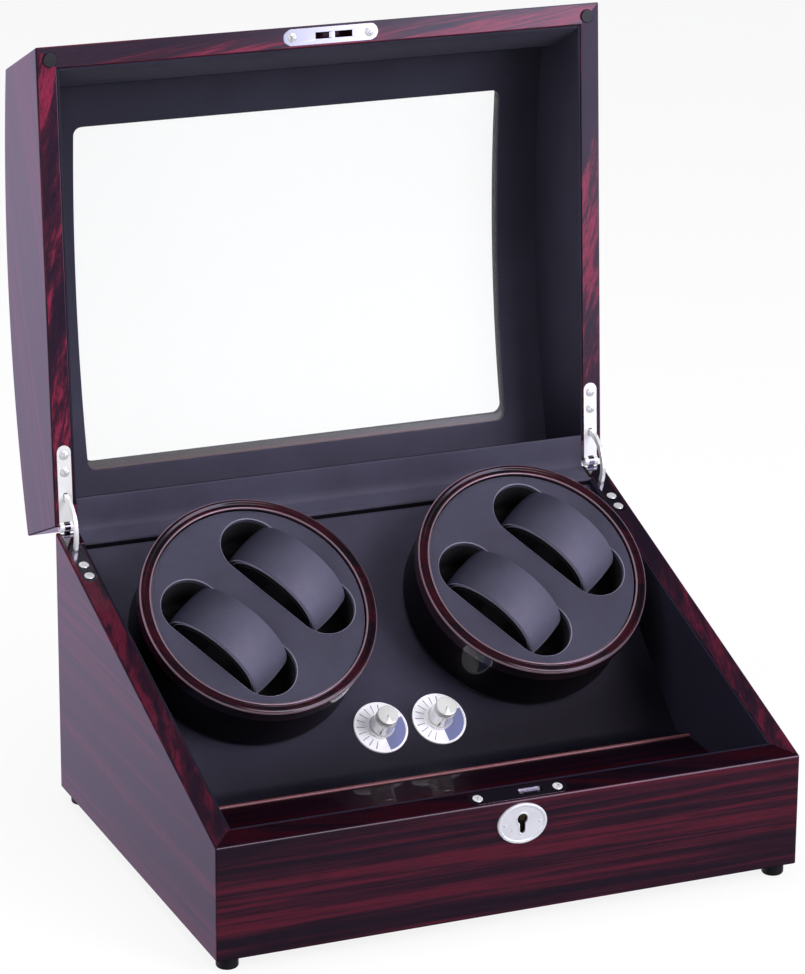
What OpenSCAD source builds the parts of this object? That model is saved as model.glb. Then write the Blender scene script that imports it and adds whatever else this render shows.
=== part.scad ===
// Two-turntable watch winder box with a sloped rim and a bowed, glazed lid.
// The lid stands open at rest. X runs left to right, Y front to back, Z up.

/* [Box] */
// Width of the box across the front
box_w = 290; // [280:1:310]
// Depth of the box from front to back
box_d = 219; // [216:1:222]
// Height of the front rim above the table
rim_front = 61.2; // [60:0.1:63]
// Height of the back rim above the table
rim_back = 138; // [136:0.5:142]
// Thickness of the lacquered walls
wall = 10; // [9.5:0.5:11]
// Thickness of the leatherette lining
lining = 1.2; // [0.8:0.1:1.4]
// Height of the rubber feet
foot_h = 6.4; // [5:0.1:7]
// Distance of each foot's centre from the box's outer faces
foot_inset = 8; // [6:0.5:18]

/* [Lid] */
// Height of the lid's front wall
lid_front_h = 51.9; // [50:0.1:56]
// Height of the lid's back wall
lid_back_h = 48.1; // [46:0.1:50]
// Rise of the bowed top above a flat one
lid_bulge = 13; // [10:0.5:16]
// Thickness of the bowed top
top_t = 4.5; // [4:0.5:6]
// Angle the lid opens by
lid_open = 112.8; // [100:0.1:114]
// Upright gap between the rims when the lid is shut
closed_gap = 1.4; // [1.4:0.1:1.8]
// Width of the window
window_w = 225; // [200:1:228]
// Length of the window along the bowed top
window_len = 172.6; // [150:0.2:174]
// Distance from the back edge to the window, along the top
window_back = 32.7; // [30:0.1:36]

/* [Turntables] */
// Distance of each turntable's centre from the middle of the box
drum_x = 70.9; // [70:0.1:72]
// Distance of the turntables' centres up the deck
drum_along = 79.7; // [79:0.1:80.5]
// Slope of the deck that the turntables stand on
deck_tilt = 42.5; // [42:0.1:43]
// Outer radius of the turntable's bead
ring_r = 57.8; // [56.5:0.1:58.5]
// Height of the bead's crest above the deck
ring_h = 38.2; // [38:0.1:40]
// Direction of the cushion slots on the turntable's face
slot_angle = -53.5; // [-90:0.5:90]
// Overall length of a cushion slot
slot_len = 75; // [72:0.5:76]
// Width of a cushion slot
slot_w = 30; // [29:0.5:31]
// Distance between the two slots' centre lines
slot_pitch = 46.8; // [45:0.1:47]

/* [Cushions] */
// Length of a watch cushion
cushion_len = 52.8; // [50:0.2:54]
// Height of a watch cushion
cushion_h = 33; // [31:0.5:33]
// Width of a watch cushion
cushion_w = 25.5; // [24:0.5:26]
// Thickness of the cushion's band
cushion_t = 5; // [4:0.5:6]

/* [Controls] */
// Distance of each control knob from the middle of the box
knob_x = 15.2; // [14.6:0.1:16]
// Distance of the knobs up the deck
knob_along = 24.5; // [23:0.5:26]
// Radius of the dial plate under a knob
plate_r = 13.5; // [12:0.5:14]
// Height of a knob above the deck
knob_h = 15; // [13:0.5:18]

/* [Lock] */
// Sideways place of the lock
lock_x = 3; // [-5:0.5:5]
// Height of the keyhole's round part
keyhole_z = 52.2; // [52:0.1:53]
// Length of the lock's rim plate and of its strike plate
strike_len = 48.8; // [46:0.2:50]
// Width of both plates
strike_w = 8.1; // [7.6:0.1:8.3]

/* [Hinges] */
// Width of a hinge leaf
leaf_w = 7; // [6.6:0.1:7.4]
// Length of a hinge leaf
leaf_len = 40; // [38:0.5:42]
// Mean radius of the curved stay arm
arm_r = 15; // [14.6:0.1:15.4]

/* [Hidden] */

$fn = 64;
eps = 0.01;

// Box
inner_x = box_w / 2 - wall;
inner_y = box_d / 2 - wall;
lined_x = inner_x - lining;
lined_y = inner_y - lining;
rim_slope = atan((rim_back - rim_front) / box_d);
rim_len = box_d / cos(rim_slope);
bottom_t = 5;
floor_z = 36.5;
floor_t = 3;
lining_drop = 0.3;

// Lid, in its shut place
hinge_y = box_d / 2 + 0.4;
hinge_z = rim_back + 2;
lid_rim_back = rim_back + closed_gap;
lid_rim_front = rim_front + closed_gap;
top_back = lid_rim_back + lid_back_h;
top_front = lid_rim_front + lid_front_h;
chord_slope = atan((top_back - top_front) / box_d);
chord_len = box_d / cos(chord_slope);
bow_r = (chord_len * chord_len / 4 + lid_bulge * lid_bulge) / (2 * lid_bulge);
bow_y = sin(chord_slope) * (bow_r - lid_bulge);
bow_z = (top_back + top_front) / 2 - cos(chord_slope) * (bow_r - lid_bulge);
pane_t = 1.6;
liner_t = 1.2;
window_y_back = box_d / 2 - window_back * cos(chord_slope);
window_y_front = box_d / 2 - (window_back + window_len) * cos(chord_slope);
window_corner = 4;
pane_rest = 6;

// Deck, with its foot on the floor panel
deck_y = -4.1;
deck_t = 4;

// Turntables
shell_r = 56;
shell_wall = 5;
shell_low = 2.7;
shell_floor = 4;
bead_low = ring_h - 8;
bead_bulge = 2.75;
face_r = ring_r - 5.6;
face_top = ring_h - 1.7;
face_t = 3;
core_r = shell_r - shell_wall - 0.4;
pocket_floor = 12;
hub_r = 16;
hub_t = 2.5;
hub_boss_r = 7;
shaft_r = 2;
run_gap = 0.05;
motor_r = 12;
gearbox_r = 12.5;
bracket_t = 2;
bracket_w = 38;
bracket_screw_r = 20;
boss_r = 4;
bracket_low = -deck_t - bracket_t;
gearbox_low = bracket_low - 18;
motor_low = gearbox_low - 22;

// Cushions
cushion_crest = face_top + 9;
cushion_mid = cushion_crest - cushion_h / 2;
cushion_shift = 1.4;
cushion_points = 48;
cushion_gap = 16;

// Controls
bushing_r = 3.5;
stem_r = 2.5;
switch_w = 14;
switch_h = 9;
board_t = 1.6;
dial_t = 0.8;
dial_rim_h = 1.1;
dial_rim_w = 0.8;
board_w = 64;
board_len = 26;
board_low = -11;
shaft_hole_r = 9;
skirt_low = 1.3;
skirt_t = 2.2;
skirt_r = 6.2;
knob_r = [5.4, 4.9, 4.1];
knob_top_h = 1.5;

// Power inlet
inlet_z = 26;
inlet_flange_t = 1.2;
inlet_flange_r = 7;
inlet_len = 18;
inlet_r = 5.5;
inlet_bore = 10;
inlet_bore_r = 2.8;
inlet_pin_r = 0.9;

// Lock
plate_t = 1.2;
rim_mid = rim_len - wall / cos(rim_slope) / 2;
slot_x = 6.6;
case_w = 34;
case_y = -box_d / 2 + 2.5;
case_d = 6;
case_low = 30;
bolt_y = case_y + case_d / 2 - 0.6;
bolt_low = 36;
bolt_w = 6.4;
bolt_t = 1.6;
bolt_sunk = 0.7;
bolt_room = 0.3;
rim_slot = [11.8, 3.8];
strike_slots = [[-4.4, 7], [slot_x, 9]];
strike_slot_w = 3.2;
lid_pocket = [21, 4, 10];
case_room = 1;
case_hollow_h = 26;
follower_t = 3.2;
key_slot = [1.3, 3.2];
escutcheon_z = 50;
escutcheon_t = 1.2;
escutcheon_size = [24.4, 19.4];
follower_r = 3;
keyhole_r = 2.55;
keyhole_slot_w = 2.7;
keyhole_drop = 5.6;
rim_screw_x = 19.9;

// Hinges
leaf_x = box_w / 2 - 5.8;
leaf_t = 1.2;
barrel_r = 2.4;
pin_r = 1;
knuckle_w = 2.8;
arm_t = 1.6;
arm_h = 3;
arm_slot = 2;
lug_t = 2.6;
lug_arc = 5;
front_angle = 180 + rim_slope;
arm_from = front_angle - lid_open - 9;
arm_to = front_angle + 18;
arm_room = 2.1;
lug_room = lug_t / 2 + 0.3;
barrel_room = leaf_w / 2 + 0.3;
notch_room = barrel_room + 0.1;
base_pocket_end = front_angle + 63.5;
lid_pocket_end = front_angle - 84;
leaf_screws = [26.7, 35.2];
screw_r = 1.3;
head_r = 2.45;
head_dome = 0.4;
head_dome_r = 8;
head_w_r = 2.4;
head_w_t = 1.2;
pilot_depth = 9;
plate_pilot = 6.5;
tall = 250;

// ---- placing helpers ----

// Side outline in Y and Z, drawn out along X
module along_x(x0, x1) {
    translate([x0, 0, 0]) rotate([90, 0, 90]) linear_extrude(x1 - x0) children();
}

// A point on the base's rim, s millimetres forward of its back edge; local Z stands off the rim
module on_base_rim(x, s) {
    translate([x, box_d / 2 - s * cos(rim_slope), rim_back - s * sin(rim_slope)])
        rotate([rim_slope, 0, 0]) children();
}

// The same on the shut lid's rim; local Z points up into the lid
module on_lid_rim(x, s) {
    translate([0, 0, closed_gap]) on_base_rim(x, s) children();
}

// Turns the shut lid's pieces up to where the lid rests open
module opened() {
    translate([0, hinge_y, hinge_z]) rotate([-lid_open, 0, 0])
        translate([0, -hinge_y, -hinge_z]) children();
}

// A place on the deck: local Y runs up the slope and local Z stands off it
module on_deck(x, along) {
    translate([x, deck_y + along * cos(deck_tilt), floor_z + along * sin(deck_tilt)])
        rotate([deck_tilt, 0, 0]) children();
}

module on_drum(side) {
    on_deck(side * drum_x, drum_along) children();
}

module at_lock(x, y, z) {
    translate([lock_x + x, y, z]) rotate([90, 0, 0]) children();
}

// Part of a ring about the hinge line, between two angles seen from +X
module hinge_arc(x0, x1, r0, r1, from, to) {
    translate([x0, hinge_y, hinge_z]) rotate([0, 90, 0]) rotate([0, 0, from + 90])
        rotate_extrude(angle = to - from, $fn = 180) translate([r0, 0]) square([r1 - r0, x1 - x0]);
}

module hinge_rod(x0, x1, r) {
    translate([x0, hinge_y, hinge_z]) rotate([0, 90, 0]) cylinder(h = x1 - x0, r = r);
}

// Slot outline with two round ends, along X
module stadium(len, w) {
    square([len - w, w], center = true);
    for (end = [-1, 1]) translate([end * (len - w) / 2, 0]) circle(d = w);
}

module oval(len, w, points) {
    polygon([for (i = [0 : points - 1])
        [len / 2 * cos(360 * i / points), w / 2 * sin(360 * i / points)]]);
}

// ---- the base's walls ----

module base_outline() {
    polygon([
        [-box_d / 2, foot_h], [box_d / 2, foot_h],
        [box_d / 2, rim_back], [-box_d / 2, rim_front]
    ]);
}

// Mitred plan of a side wall
module side_plan(side) {
    polygon([
        [side * box_w / 2, -box_d / 2], [side * box_w / 2, box_d / 2],
        [side * inner_x, inner_y], [side * inner_x, -inner_y]
    ]);
}

// Mitred plan of the front wall (-1) or the back wall (1)
module end_plan(end) {
    polygon([
        [-box_w / 2, end * box_d / 2], [box_w / 2, end * box_d / 2],
        [inner_x, end * inner_y], [-inner_x, end * inner_y]
    ]);
}

module leaf_outline(tail) {
    translate([-leaf_w / 2, leaf_w / 2 - leaf_len])
        square([leaf_w, leaf_len - leaf_w / 2 + tail]);
    translate([0, leaf_w / 2 - leaf_len]) circle(d = leaf_w);
}

// Room in the base for a leaf, for its barrel and for the stay arm's lower end
module base_hinge_recess(side) {
    x = side * leaf_x;
    on_base_rim(x, 0) translate([0, 0, -leaf_t]) linear_extrude(leaf_t + 1) leaf_outline(2);
    hinge_rod(x - barrel_room, x + barrel_room, barrel_r + 0.4);
    hinge_arc(x - lug_room, x + lug_room, arm_r - arm_room, arm_r + arm_room,
        front_angle, base_pocket_end);
}

// The same in the shut lid
module lid_hinge_recess(side) {
    x = side * leaf_x;
    on_lid_rim(x, 0) translate([0, 0, -1]) linear_extrude(leaf_t + 1) leaf_outline(2);
    on_lid_rim(x, 0) translate([-notch_room, -barrel_r - 1, -1])
        cube([2 * notch_room, barrel_r + 3, leaf_t + 1]);
    hinge_rod(x - barrel_room, x + barrel_room, barrel_r + 0.4);
    hinge_arc(x - lug_room, x + lug_room, arm_r - arm_room, arm_r + arm_room,
        lid_pocket_end, front_angle + 5);
}

module base_side(side) {
    x = side * leaf_x;
    difference() {
        intersection() {
            along_x(-box_w / 2, box_w / 2) base_outline();
            linear_extrude(rim_back + 1) side_plan(side);
        }
        base_hinge_recess(side);
        for (s = leaf_screws) on_base_rim(x, s) translate([0, 0, -leaf_t - pilot_depth])
            cylinder(h = pilot_depth + 1, r = screw_r);
    }
}

module base_left_side() {
    color([0.16, 0.03, 0.05]) base_side(-1);
}

module base_right_side() {
    color([0.16, 0.03, 0.05]) base_side(1);
}

module base_front() {
    color([0.2, 0.04, 0.07]) difference() {
        intersection() {
            along_x(-box_w / 2, box_w / 2) base_outline();
            linear_extrude(rim_back) end_plan(-1);
        }
        lock_case_block();
        on_base_rim(lock_x, rim_mid) translate([0, 0, -plate_t])
            linear_extrude(plate_t + 1) stadium(strike_len, strike_w);
        for (side = [-1, 1]) on_base_rim(lock_x + side * rim_screw_x, rim_mid)
            translate([0, 0, -plate_t - plate_pilot]) cylinder(h = plate_pilot + 1, r = screw_r);
        translate([0, -box_d / 2 + 3, 0]) keyhole_cut(4);
    }
}

module base_back() {
    color([0.16, 0.03, 0.05]) difference() {
        intersection() {
            along_x(-box_w / 2, box_w / 2) base_outline();
            linear_extrude(rim_back + 1) end_plan(1);
        }
        power_inlet_body(0);
        for (side = [-1, 1]) base_hinge_recess(side);
    }
}

module base_bottom() {
    color([0.12, 0.1, 0.1])
        translate([-inner_x, -inner_y, foot_h]) cube([2 * inner_x, 2 * inner_y, bottom_t]);
}

// Leatherette-covered card on the two sides and the front
module base_linings() {
    low = foot_h + bottom_t;
    drop = lining_drop / cos(rim_slope);
    color([0.13, 0.13, 0.17]) {
        for (side = [-1, 1]) intersection() {
            translate([0, 0, -drop]) along_x(-box_w / 2, box_w / 2) base_outline();
            translate([side * (inner_x - lining / 2), 0, low + rim_back / 2])
                cube([lining, 2 * inner_y, rim_back], center = true);
        }
        intersection() {
            translate([0, 0, -drop]) along_x(-lined_x, lined_x) base_outline();
            translate([-lined_x, -inner_y, low]) cube([2 * lined_x, lining, rim_back]);
        }
    }
}

// Sloped panel that carries the turntables and the controls
module deck_panel() {
    back_z = floor_z + (inner_y - deck_y) * tan(deck_tilt);
    color([0.2, 0.2, 0.25]) difference() {
        along_x(-lined_x, lined_x) polygon([
            [deck_y, floor_z], [inner_y, back_z],
            [inner_y, back_z - deck_t / cos(deck_tilt)],
            [deck_y + deck_t / sin(deck_tilt), floor_z]
        ]);
        for (side = [-1, 1]) {
            on_drum(side) translate([0, 0, -deck_t - 1]) cylinder(h = deck_t + 2, r = shaft_hole_r);
            on_drum(side) at_bracket_screws() translate([0, 0, -deck_t])
                cylinder(h = 3, r = screw_r);
            on_deck(side * knob_x, knob_along) translate([0, 0, -deck_t - 1])
                cylinder(h = deck_t + 2, r = bushing_r);
        }
    }
}

// Level panel in front of the deck
module floor_panel() {
    color([0.1, 0.1, 0.13]) translate([-lined_x, -lined_y, floor_z - floor_t])
        cube([2 * lined_x, lined_y + 6, floor_t]);
}

// Lacquered ledge with a rounded back edge
module front_ledge() {
    ledge_y = -17;
    ledge_h = 2.6;
    color([0.12, 0.03, 0.05]) along_x(-lined_x, lined_x) translate([0, floor_z]) {
        translate([-lined_y, 0]) square([lined_y + ledge_y - ledge_h / 2, ledge_h]);
        translate([ledge_y - ledge_h / 2, ledge_h / 2]) circle(d = ledge_h);
    }
}

// Wooden rails on the side walls, under the deck and under the floor panel
module support_rails() {
    rail = 10;
    rail_len = 100;
    rail_along = 74;
    color([0.55, 0.42, 0.28]) for (side = [-1, 1]) {
        on_deck(side * (lined_x - rail / 2), rail_along) translate([0, 0, -deck_t - rail / 2])
            cube([rail, rail_len, rail], center = true);
        translate([side * (lined_x - rail / 2), (-lined_y) / 2, floor_z - floor_t - rail / 2])
            cube([rail, lined_y - 8, rail], center = true);
    }
}

// ---- feet and screws ----

module at_feet() {
    for (x = [-1, 1], y = [-1, 1])
        translate([x * (box_w / 2 - foot_inset), y * (box_d / 2 - foot_inset), 0]) children();
}

module feet() {
    foot_r = 5.2;
    edge = 1.4;
    color([0.05, 0.05, 0.05]) at_feet() rotate_extrude() {
        square([foot_r - edge, foot_h]);
        translate([0, edge]) square([foot_r, foot_h - edge]);
        translate([foot_r - edge, edge]) circle(r = edge, $fn = 32);
    }
}

// Pan-head screws that hold the motor brackets
module inner_screws() {
    color([0.7, 0.7, 0.72]) for (side = [-1, 1]) on_drum(side) at_bracket_screws() {
        translate([0, 0, bracket_low]) cylinder(h = bracket_t + 3, r = screw_r);
        translate([0, 0, bracket_low - head_w_t]) cylinder(h = head_w_t, r = head_w_r);
    }
}

// Countersunk screw with a slightly domed head, its head level with local Z = 0
module rim_screw(len) {
    translate([0, 0, -leaf_t - len]) cylinder(h = len + eps, r = screw_r);
    translate([0, 0, -leaf_t]) cylinder(h = leaf_t, r1 = screw_r, r2 = head_r);
    rotate_extrude() intersection() {
        translate([0, head_dome - head_dome_r]) circle(r = head_dome_r, $fn = 180);
        square([head_r, head_dome]);
    }
}

module rim_screws() {
    color([0.85, 0.85, 0.88]) {
        for (side = [-1, 1], s = leaf_screws) on_base_rim(side * leaf_x, s)
            rim_screw(pilot_depth);
        for (side = [-1, 1]) on_base_rim(lock_x + side * rim_screw_x, rim_mid)
            rim_screw(plate_pilot);
    }
}

module lid_screws() {
    color([0.85, 0.85, 0.88]) opened() {
        for (side = [-1, 1], s = leaf_screws) on_lid_rim(side * leaf_x, s) mirror([0, 0, 1])
            rim_screw(pilot_depth);
        for (side = [-1, 1]) on_lid_rim(lock_x + side * rim_screw_x, rim_mid) mirror([0, 0, 1])
            rim_screw(plate_pilot);
    }
}

// ---- motors ----

module at_bracket_screws() {
    for (a = [45 : 90 : 315]) rotate([0, 0, a]) translate([bracket_screw_r, 0, 0]) children();
}

// Gearmotor: gearbox with a front boss, and the motor can behind it
module gear_motor() {
    difference() {
        union() {
            translate([0, 0, gearbox_low]) cylinder(h = bracket_low - gearbox_low, r = gearbox_r);
            translate([0, 0, bracket_low]) cylinder(h = bracket_t + 1, r = boss_r);
            translate([0, 0, motor_low]) cylinder(h = gearbox_low - motor_low, r = motor_r);
            translate([0, 0, motor_low - 2]) cylinder(h = 2, r = boss_r);
        }
        translate([0, 0, bracket_low - 8]) cylinder(h = bracket_t + 12, r = shaft_r + run_gap);
    }
}

module motor_left() {
    color([0.6, 0.6, 0.62]) on_drum(-1) gear_motor();
}

module motor_right() {
    color([0.6, 0.6, 0.62]) on_drum(1) gear_motor();
}

// Steel plates that hang the motors from the deck's underside
module motor_brackets() {
    color([0.75, 0.75, 0.78]) for (side = [-1, 1]) on_drum(side) difference() {
        translate([-bracket_w / 2, -bracket_w / 2, bracket_low])
            cube([bracket_w, bracket_w, bracket_t]);
        translate([0, 0, bracket_low - 1]) cylinder(h = bracket_t + 2, r = boss_r);
        at_bracket_screws() translate([0, 0, bracket_low - 1])
            cylinder(h = bracket_t + 2, r = screw_r);
    }
}

module motor_shaft() {
    translate([0, 0, bracket_low - 7.5]) cylinder(h = 7.5 - bracket_low + 8, r = shaft_r);
}

module motor_shaft_left() {
    color([0.8, 0.8, 0.82]) on_drum(-1) motor_shaft();
}

module motor_shaft_right() {
    color([0.8, 0.8, 0.82]) on_drum(1) motor_shaft();
}

// ---- turntables ----

module drum_hub() {
    difference() {
        union() {
            translate([0, 0, -2.4]) cylinder(h = 2.4 + shell_low + shell_floor, r = hub_boss_r);
            translate([0, 0, shell_low + shell_floor]) cylinder(h = hub_t, r = hub_r);
        }
        translate([0, 0, -3]) cylinder(h = 11, r = shaft_r);
    }
}

module drum_shell() {
    difference() {
        translate([0, 0, shell_low]) cylinder(h = bead_low - shell_low, r = shell_r, $fn = 128);
        translate([0, 0, shell_low + shell_floor])
            cylinder(h = ring_h, r = shell_r - shell_wall, $fn = 128);
        cylinder(h = 10, r = hub_boss_r);
    }
}

// Round-topped bead that closes the shell and frames the face
module drum_bead() {
    bead_x = ring_r - bead_bulge;
    rotate_extrude($fn = 128) {
        translate([bead_x, ring_h - bead_bulge]) circle(r = bead_bulge, $fn = 48);
        translate([face_r, bead_low]) square([ring_r - face_r, ring_h - bead_bulge - bead_low]);
    }
}

module slot_outlines(grow) {
    rotate([0, 0, slot_angle]) for (row = [-1, 1]) translate([0, row * slot_pitch / 2])
        stadium(slot_len + 2 * grow, slot_w + 2 * grow);
}

// Covered disc with the two cushion slots
module drum_face() {
    translate([0, 0, face_top - face_t]) linear_extrude(face_t) difference() {
        circle(r = face_r, $fn = 128);
        slot_outlines(0);
    }
}

// Foam block under the face, with a pocket under each slot
module foam_core() {
    low = shell_low + shell_floor;
    difference() {
        translate([0, 0, low]) cylinder(h = face_top - face_t - low, r = core_r, $fn = 128);
        translate([0, 0, pocket_floor]) linear_extrude(ring_h) slot_outlines(0);
        translate([0, 0, low - 1]) cylinder(h = hub_t + 1, r = hub_r);
    }
}

module drum_shell_left() {
    color([0.13, 0.02, 0.04]) on_drum(-1) drum_shell();
}

module drum_shell_right() {
    color([0.13, 0.02, 0.04]) on_drum(1) drum_shell();
}

module drum_bead_left() {
    color([0.25, 0.04, 0.07]) on_drum(-1) drum_bead();
}

module drum_bead_right() {
    color([0.25, 0.04, 0.07]) on_drum(1) drum_bead();
}

module drum_face_left() {
    color([0.3, 0.29, 0.36]) on_drum(-1) drum_face();
}

module drum_face_right() {
    color([0.3, 0.29, 0.36]) on_drum(1) drum_face();
}

module foam_core_left() {
    color([0.06, 0.06, 0.07]) on_drum(-1) foam_core();
}

module foam_core_right() {
    color([0.06, 0.06, 0.07]) on_drum(1) foam_core();
}

module drum_hub_left() {
    color([0.85, 0.85, 0.8]) on_drum(-1) drum_hub();
}

module drum_hub_right() {
    color([0.85, 0.85, 0.8]) on_drum(1) drum_hub();
}

// ---- cushions ----

// Bent band that a watch is strapped round, open at its underside
module cushion(side, row) {
    inner_len = cushion_len - 2 * cushion_t;
    inner_h = cushion_h - 2 * cushion_t;
    on_drum(side) rotate([0, 0, slot_angle])
        translate([0, row * slot_pitch / 2 + cushion_shift, cushion_mid]) rotate([90, 0, 0])
        translate([0, 0, -cushion_w / 2]) linear_extrude(cushion_w) difference() {
            oval(cushion_len, cushion_h, cushion_points);
            oval(inner_len, inner_h, cushion_points);
            translate([-cushion_gap / 2, -cushion_h]) square([cushion_gap, cushion_h]);
        }
}

module cushion_left_upper() {
    color([0.2, 0.2, 0.25]) cushion(-1, 1);
}

module cushion_left_lower() {
    color([0.2, 0.2, 0.25]) cushion(-1, -1);
}

module cushion_right_upper() {
    color([0.2, 0.2, 0.25]) cushion(1, 1);
}

module cushion_right_lower() {
    color([0.2, 0.2, 0.25]) cushion(1, -1);
}

// ---- controls ----

module dial_plate() {
    difference() {
        union() {
            cylinder(h = dial_t, r = plate_r);
            difference() {
                cylinder(h = dial_rim_h, r = plate_r);
                translate([0, 0, -1]) cylinder(h = 3, r = plate_r - dial_rim_w);
            }
        }
        translate([0, 0, -1]) cylinder(h = 3, r = bushing_r);
    }
}

module dial_plate_left() {
    color([0.85, 0.86, 0.9]) on_deck(-knob_x, knob_along) dial_plate();
}

module dial_plate_right() {
    color([0.85, 0.86, 0.9]) on_deck(knob_x, knob_along) dial_plate();
}

// Stepped knob with its stem
module knob() {
    translate([0, 0, -deck_t - 5]) cylinder(h = deck_t + 7, r = stem_r);
    body_low = skirt_low + skirt_t;
    body_top = knob_h - knob_top_h;
    translate([0, 0, skirt_low]) cylinder(h = skirt_t, r = skirt_r);
    translate([0, 0, body_low]) cylinder(h = body_top - body_low, r1 = knob_r[0], r2 = knob_r[1]);
    translate([0, 0, body_top]) cylinder(h = knob_top_h, r1 = knob_r[1], r2 = knob_r[2]);
}

module knob_left() {
    color([0.9, 0.9, 0.93]) on_deck(-knob_x, knob_along) knob();
}

module knob_right() {
    color([0.9, 0.9, 0.93]) on_deck(knob_x, knob_along) knob();
}

// Rotary switches under the deck, each with a bushing up through it
module rotary_switches() {
    color([0.1, 0.25, 0.5]) for (side = [-1, 1]) on_deck(side * knob_x, knob_along) difference() {
        union() {
            translate([-switch_w / 2, -switch_w / 2, -deck_t - switch_h])
                cube([switch_w, switch_w, switch_h]);
            translate([0, 0, -deck_t]) cylinder(h = deck_t + 0.9, r = bushing_r);
        }
        translate([0, 0, -deck_t - 5.5]) cylinder(h = deck_t + 8, r = stem_r + run_gap);
    }
}

module control_board() {
    color([0.05, 0.35, 0.15]) on_deck(0, knob_along)
        translate([-board_w / 2, board_low, -deck_t - switch_h - board_t])
            cube([board_w, board_len, board_t]);
}

// Round inlet for the mains adapter's plug, let into the back wall
module power_inlet_body(bore_r) {
    translate([0, box_d / 2, inlet_z]) rotate([90, 0, 0]) difference() {
        union() {
            cylinder(h = inlet_flange_t, r = inlet_flange_r);
            cylinder(h = inlet_len, r = inlet_r);
        }
        if (bore_r > 0) translate([0, 0, -1]) cylinder(h = inlet_bore, r = bore_r);
    }
}

module power_inlet() {
    color([0.1, 0.1, 0.1]) {
        power_inlet_body(inlet_bore_r);
        translate([0, box_d / 2 - 1.5, inlet_z]) rotate([90, 0, 0])
            cylinder(h = inlet_bore - 2, r = inlet_pin_r);
    }
}

// ---- lock ----

// Box of the lock in the front wall, cut off along the underside of the rim plate
module lock_case_block() {
    under = plate_t / cos(rim_slope);
    top_a = rim_front + (case_y + box_d / 2) * tan(rim_slope) - under;
    top_b = rim_front + (case_y + case_d + box_d / 2) * tan(rim_slope) - under;
    along_x(lock_x - case_w / 2, lock_x + case_w / 2) polygon([
        [case_y, case_low], [case_y + case_d, case_low],
        [case_y + case_d, top_b], [case_y, top_a]
    ]);
}

module lock_case() {
    slot_w = bolt_w + 2 * bolt_room;
    slot_d = bolt_t + 2 * bolt_room;
    color([0.7, 0.65, 0.45]) difference() {
        lock_case_block();
        translate([lock_x - case_w / 2 + case_room, case_y + case_room, case_low + case_room])
            cube([case_w - 2 * case_room, case_d - 2 * case_room, case_hollow_h]);
        translate([0, case_y + case_room + 0.5, 0]) keyhole_cut(2 * case_room);
        translate([lock_x + slot_x - slot_w / 2, bolt_y - slot_d / 2, bolt_low])
            cube([slot_w, slot_d, rim_front]);
    }
}

// Keyhole: round top and a narrow slot below, cut forward from local Y = 0
module keyhole_cut(depth) {
    at_lock(0, 0, keyhole_z) linear_extrude(depth) {
        circle(r = keyhole_r);
        translate([-keyhole_slot_w / 2, -keyhole_drop]) square([keyhole_slot_w, keyhole_drop]);
        translate([0, -keyhole_drop]) circle(d = keyhole_slot_w);
    }
}

module lock_rim_plate() {
    color([0.8, 0.8, 0.84]) on_base_rim(lock_x, rim_mid) difference() {
        translate([0, 0, -plate_t]) linear_extrude(plate_t) difference() {
            stadium(strike_len, strike_w);
            translate([slot_x, 0]) square(rim_slot, center = true);
        }
        for (side = [-1, 1]) translate([side * rim_screw_x, 0, -plate_t])
            cylinder(h = plate_t, r1 = screw_r, r2 = head_r);
    }
}

// Hooked bolt that rises through the rim plate into the lid's strike plate
module lock_bolt() {
    bolt_top = rim_front + (bolt_y + box_d / 2) * tan(rim_slope) - bolt_sunk;
    color([0.75, 0.75, 0.78])
        translate([lock_x + slot_x - bolt_w / 2, bolt_y - bolt_t / 2, bolt_low])
        cube([bolt_w, bolt_t, bolt_top - bolt_low]);
}

// Drum that the key turns, with the key's slot through it
module lock_follower() {
    color([0.5, 0.42, 0.3]) at_lock(0, case_y + case_d - 1.4, keyhole_z)
        linear_extrude(follower_t) difference() {
            circle(r = follower_r);
            translate([0, -key_slot[1] / 2]) square(key_slot, center = true);
        }
}

module escutcheon() {
    color([0.88, 0.88, 0.9]) difference() {
        at_lock(0, -box_d / 2, escutcheon_z) linear_extrude(escutcheon_t)
            oval(escutcheon_size[0], escutcheon_size[1], 72);
        translate([0, -box_d / 2 + 1, 0]) keyhole_cut(4);
    }
}

module strike_plate() {
    color([0.9, 0.9, 0.92]) opened() on_lid_rim(lock_x, rim_mid) difference() {
        linear_extrude(plate_t) difference() {
            stadium(strike_len, strike_w);
            for (slot = strike_slots) translate([slot[0], 0])
                square([slot[1], strike_slot_w], center = true);
        }
        for (side = [-1, 1]) translate([side * rim_screw_x, 0, 0])
            cylinder(h = plate_t, r1 = head_r, r2 = screw_r);
    }
}

// ---- hinges ----

module base_hinge_leaf(side) {
    x = side * leaf_x;
    difference() {
        union() {
            on_base_rim(x, 0) translate([0, 0, -leaf_t]) linear_extrude(leaf_t) difference() {
                leaf_outline(0);
                translate([-leaf_w, -2.3]) square([leaf_w - knuckle_w / 2, 5]);
                translate([knuckle_w / 2, -2.3]) square([leaf_w, 5]);
            }
            hinge_rod(x - knuckle_w / 2, x + knuckle_w / 2, barrel_r);
        }
        hinge_rod(x - leaf_w, x + leaf_w, pin_r);
        hinge_arc(x - arm_slot / 2, x + arm_slot / 2, arm_r - arm_room, arm_r + arm_room,
            front_angle - 10, front_angle + 30);
        for (s = leaf_screws) on_base_rim(x, s) translate([0, 0, -leaf_t])
            cylinder(h = leaf_t, r1 = screw_r, r2 = head_r);
    }
}

module base_hinge_leaves() {
    color([0.75, 0.75, 0.8]) for (side = [-1, 1]) base_hinge_leaf(side);
}

module hinge_pins() {
    color([0.6, 0.6, 0.62]) for (side = [-1, 1])
        hinge_rod(side * leaf_x - leaf_w / 2, side * leaf_x + leaf_w / 2, pin_r);
}

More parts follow.
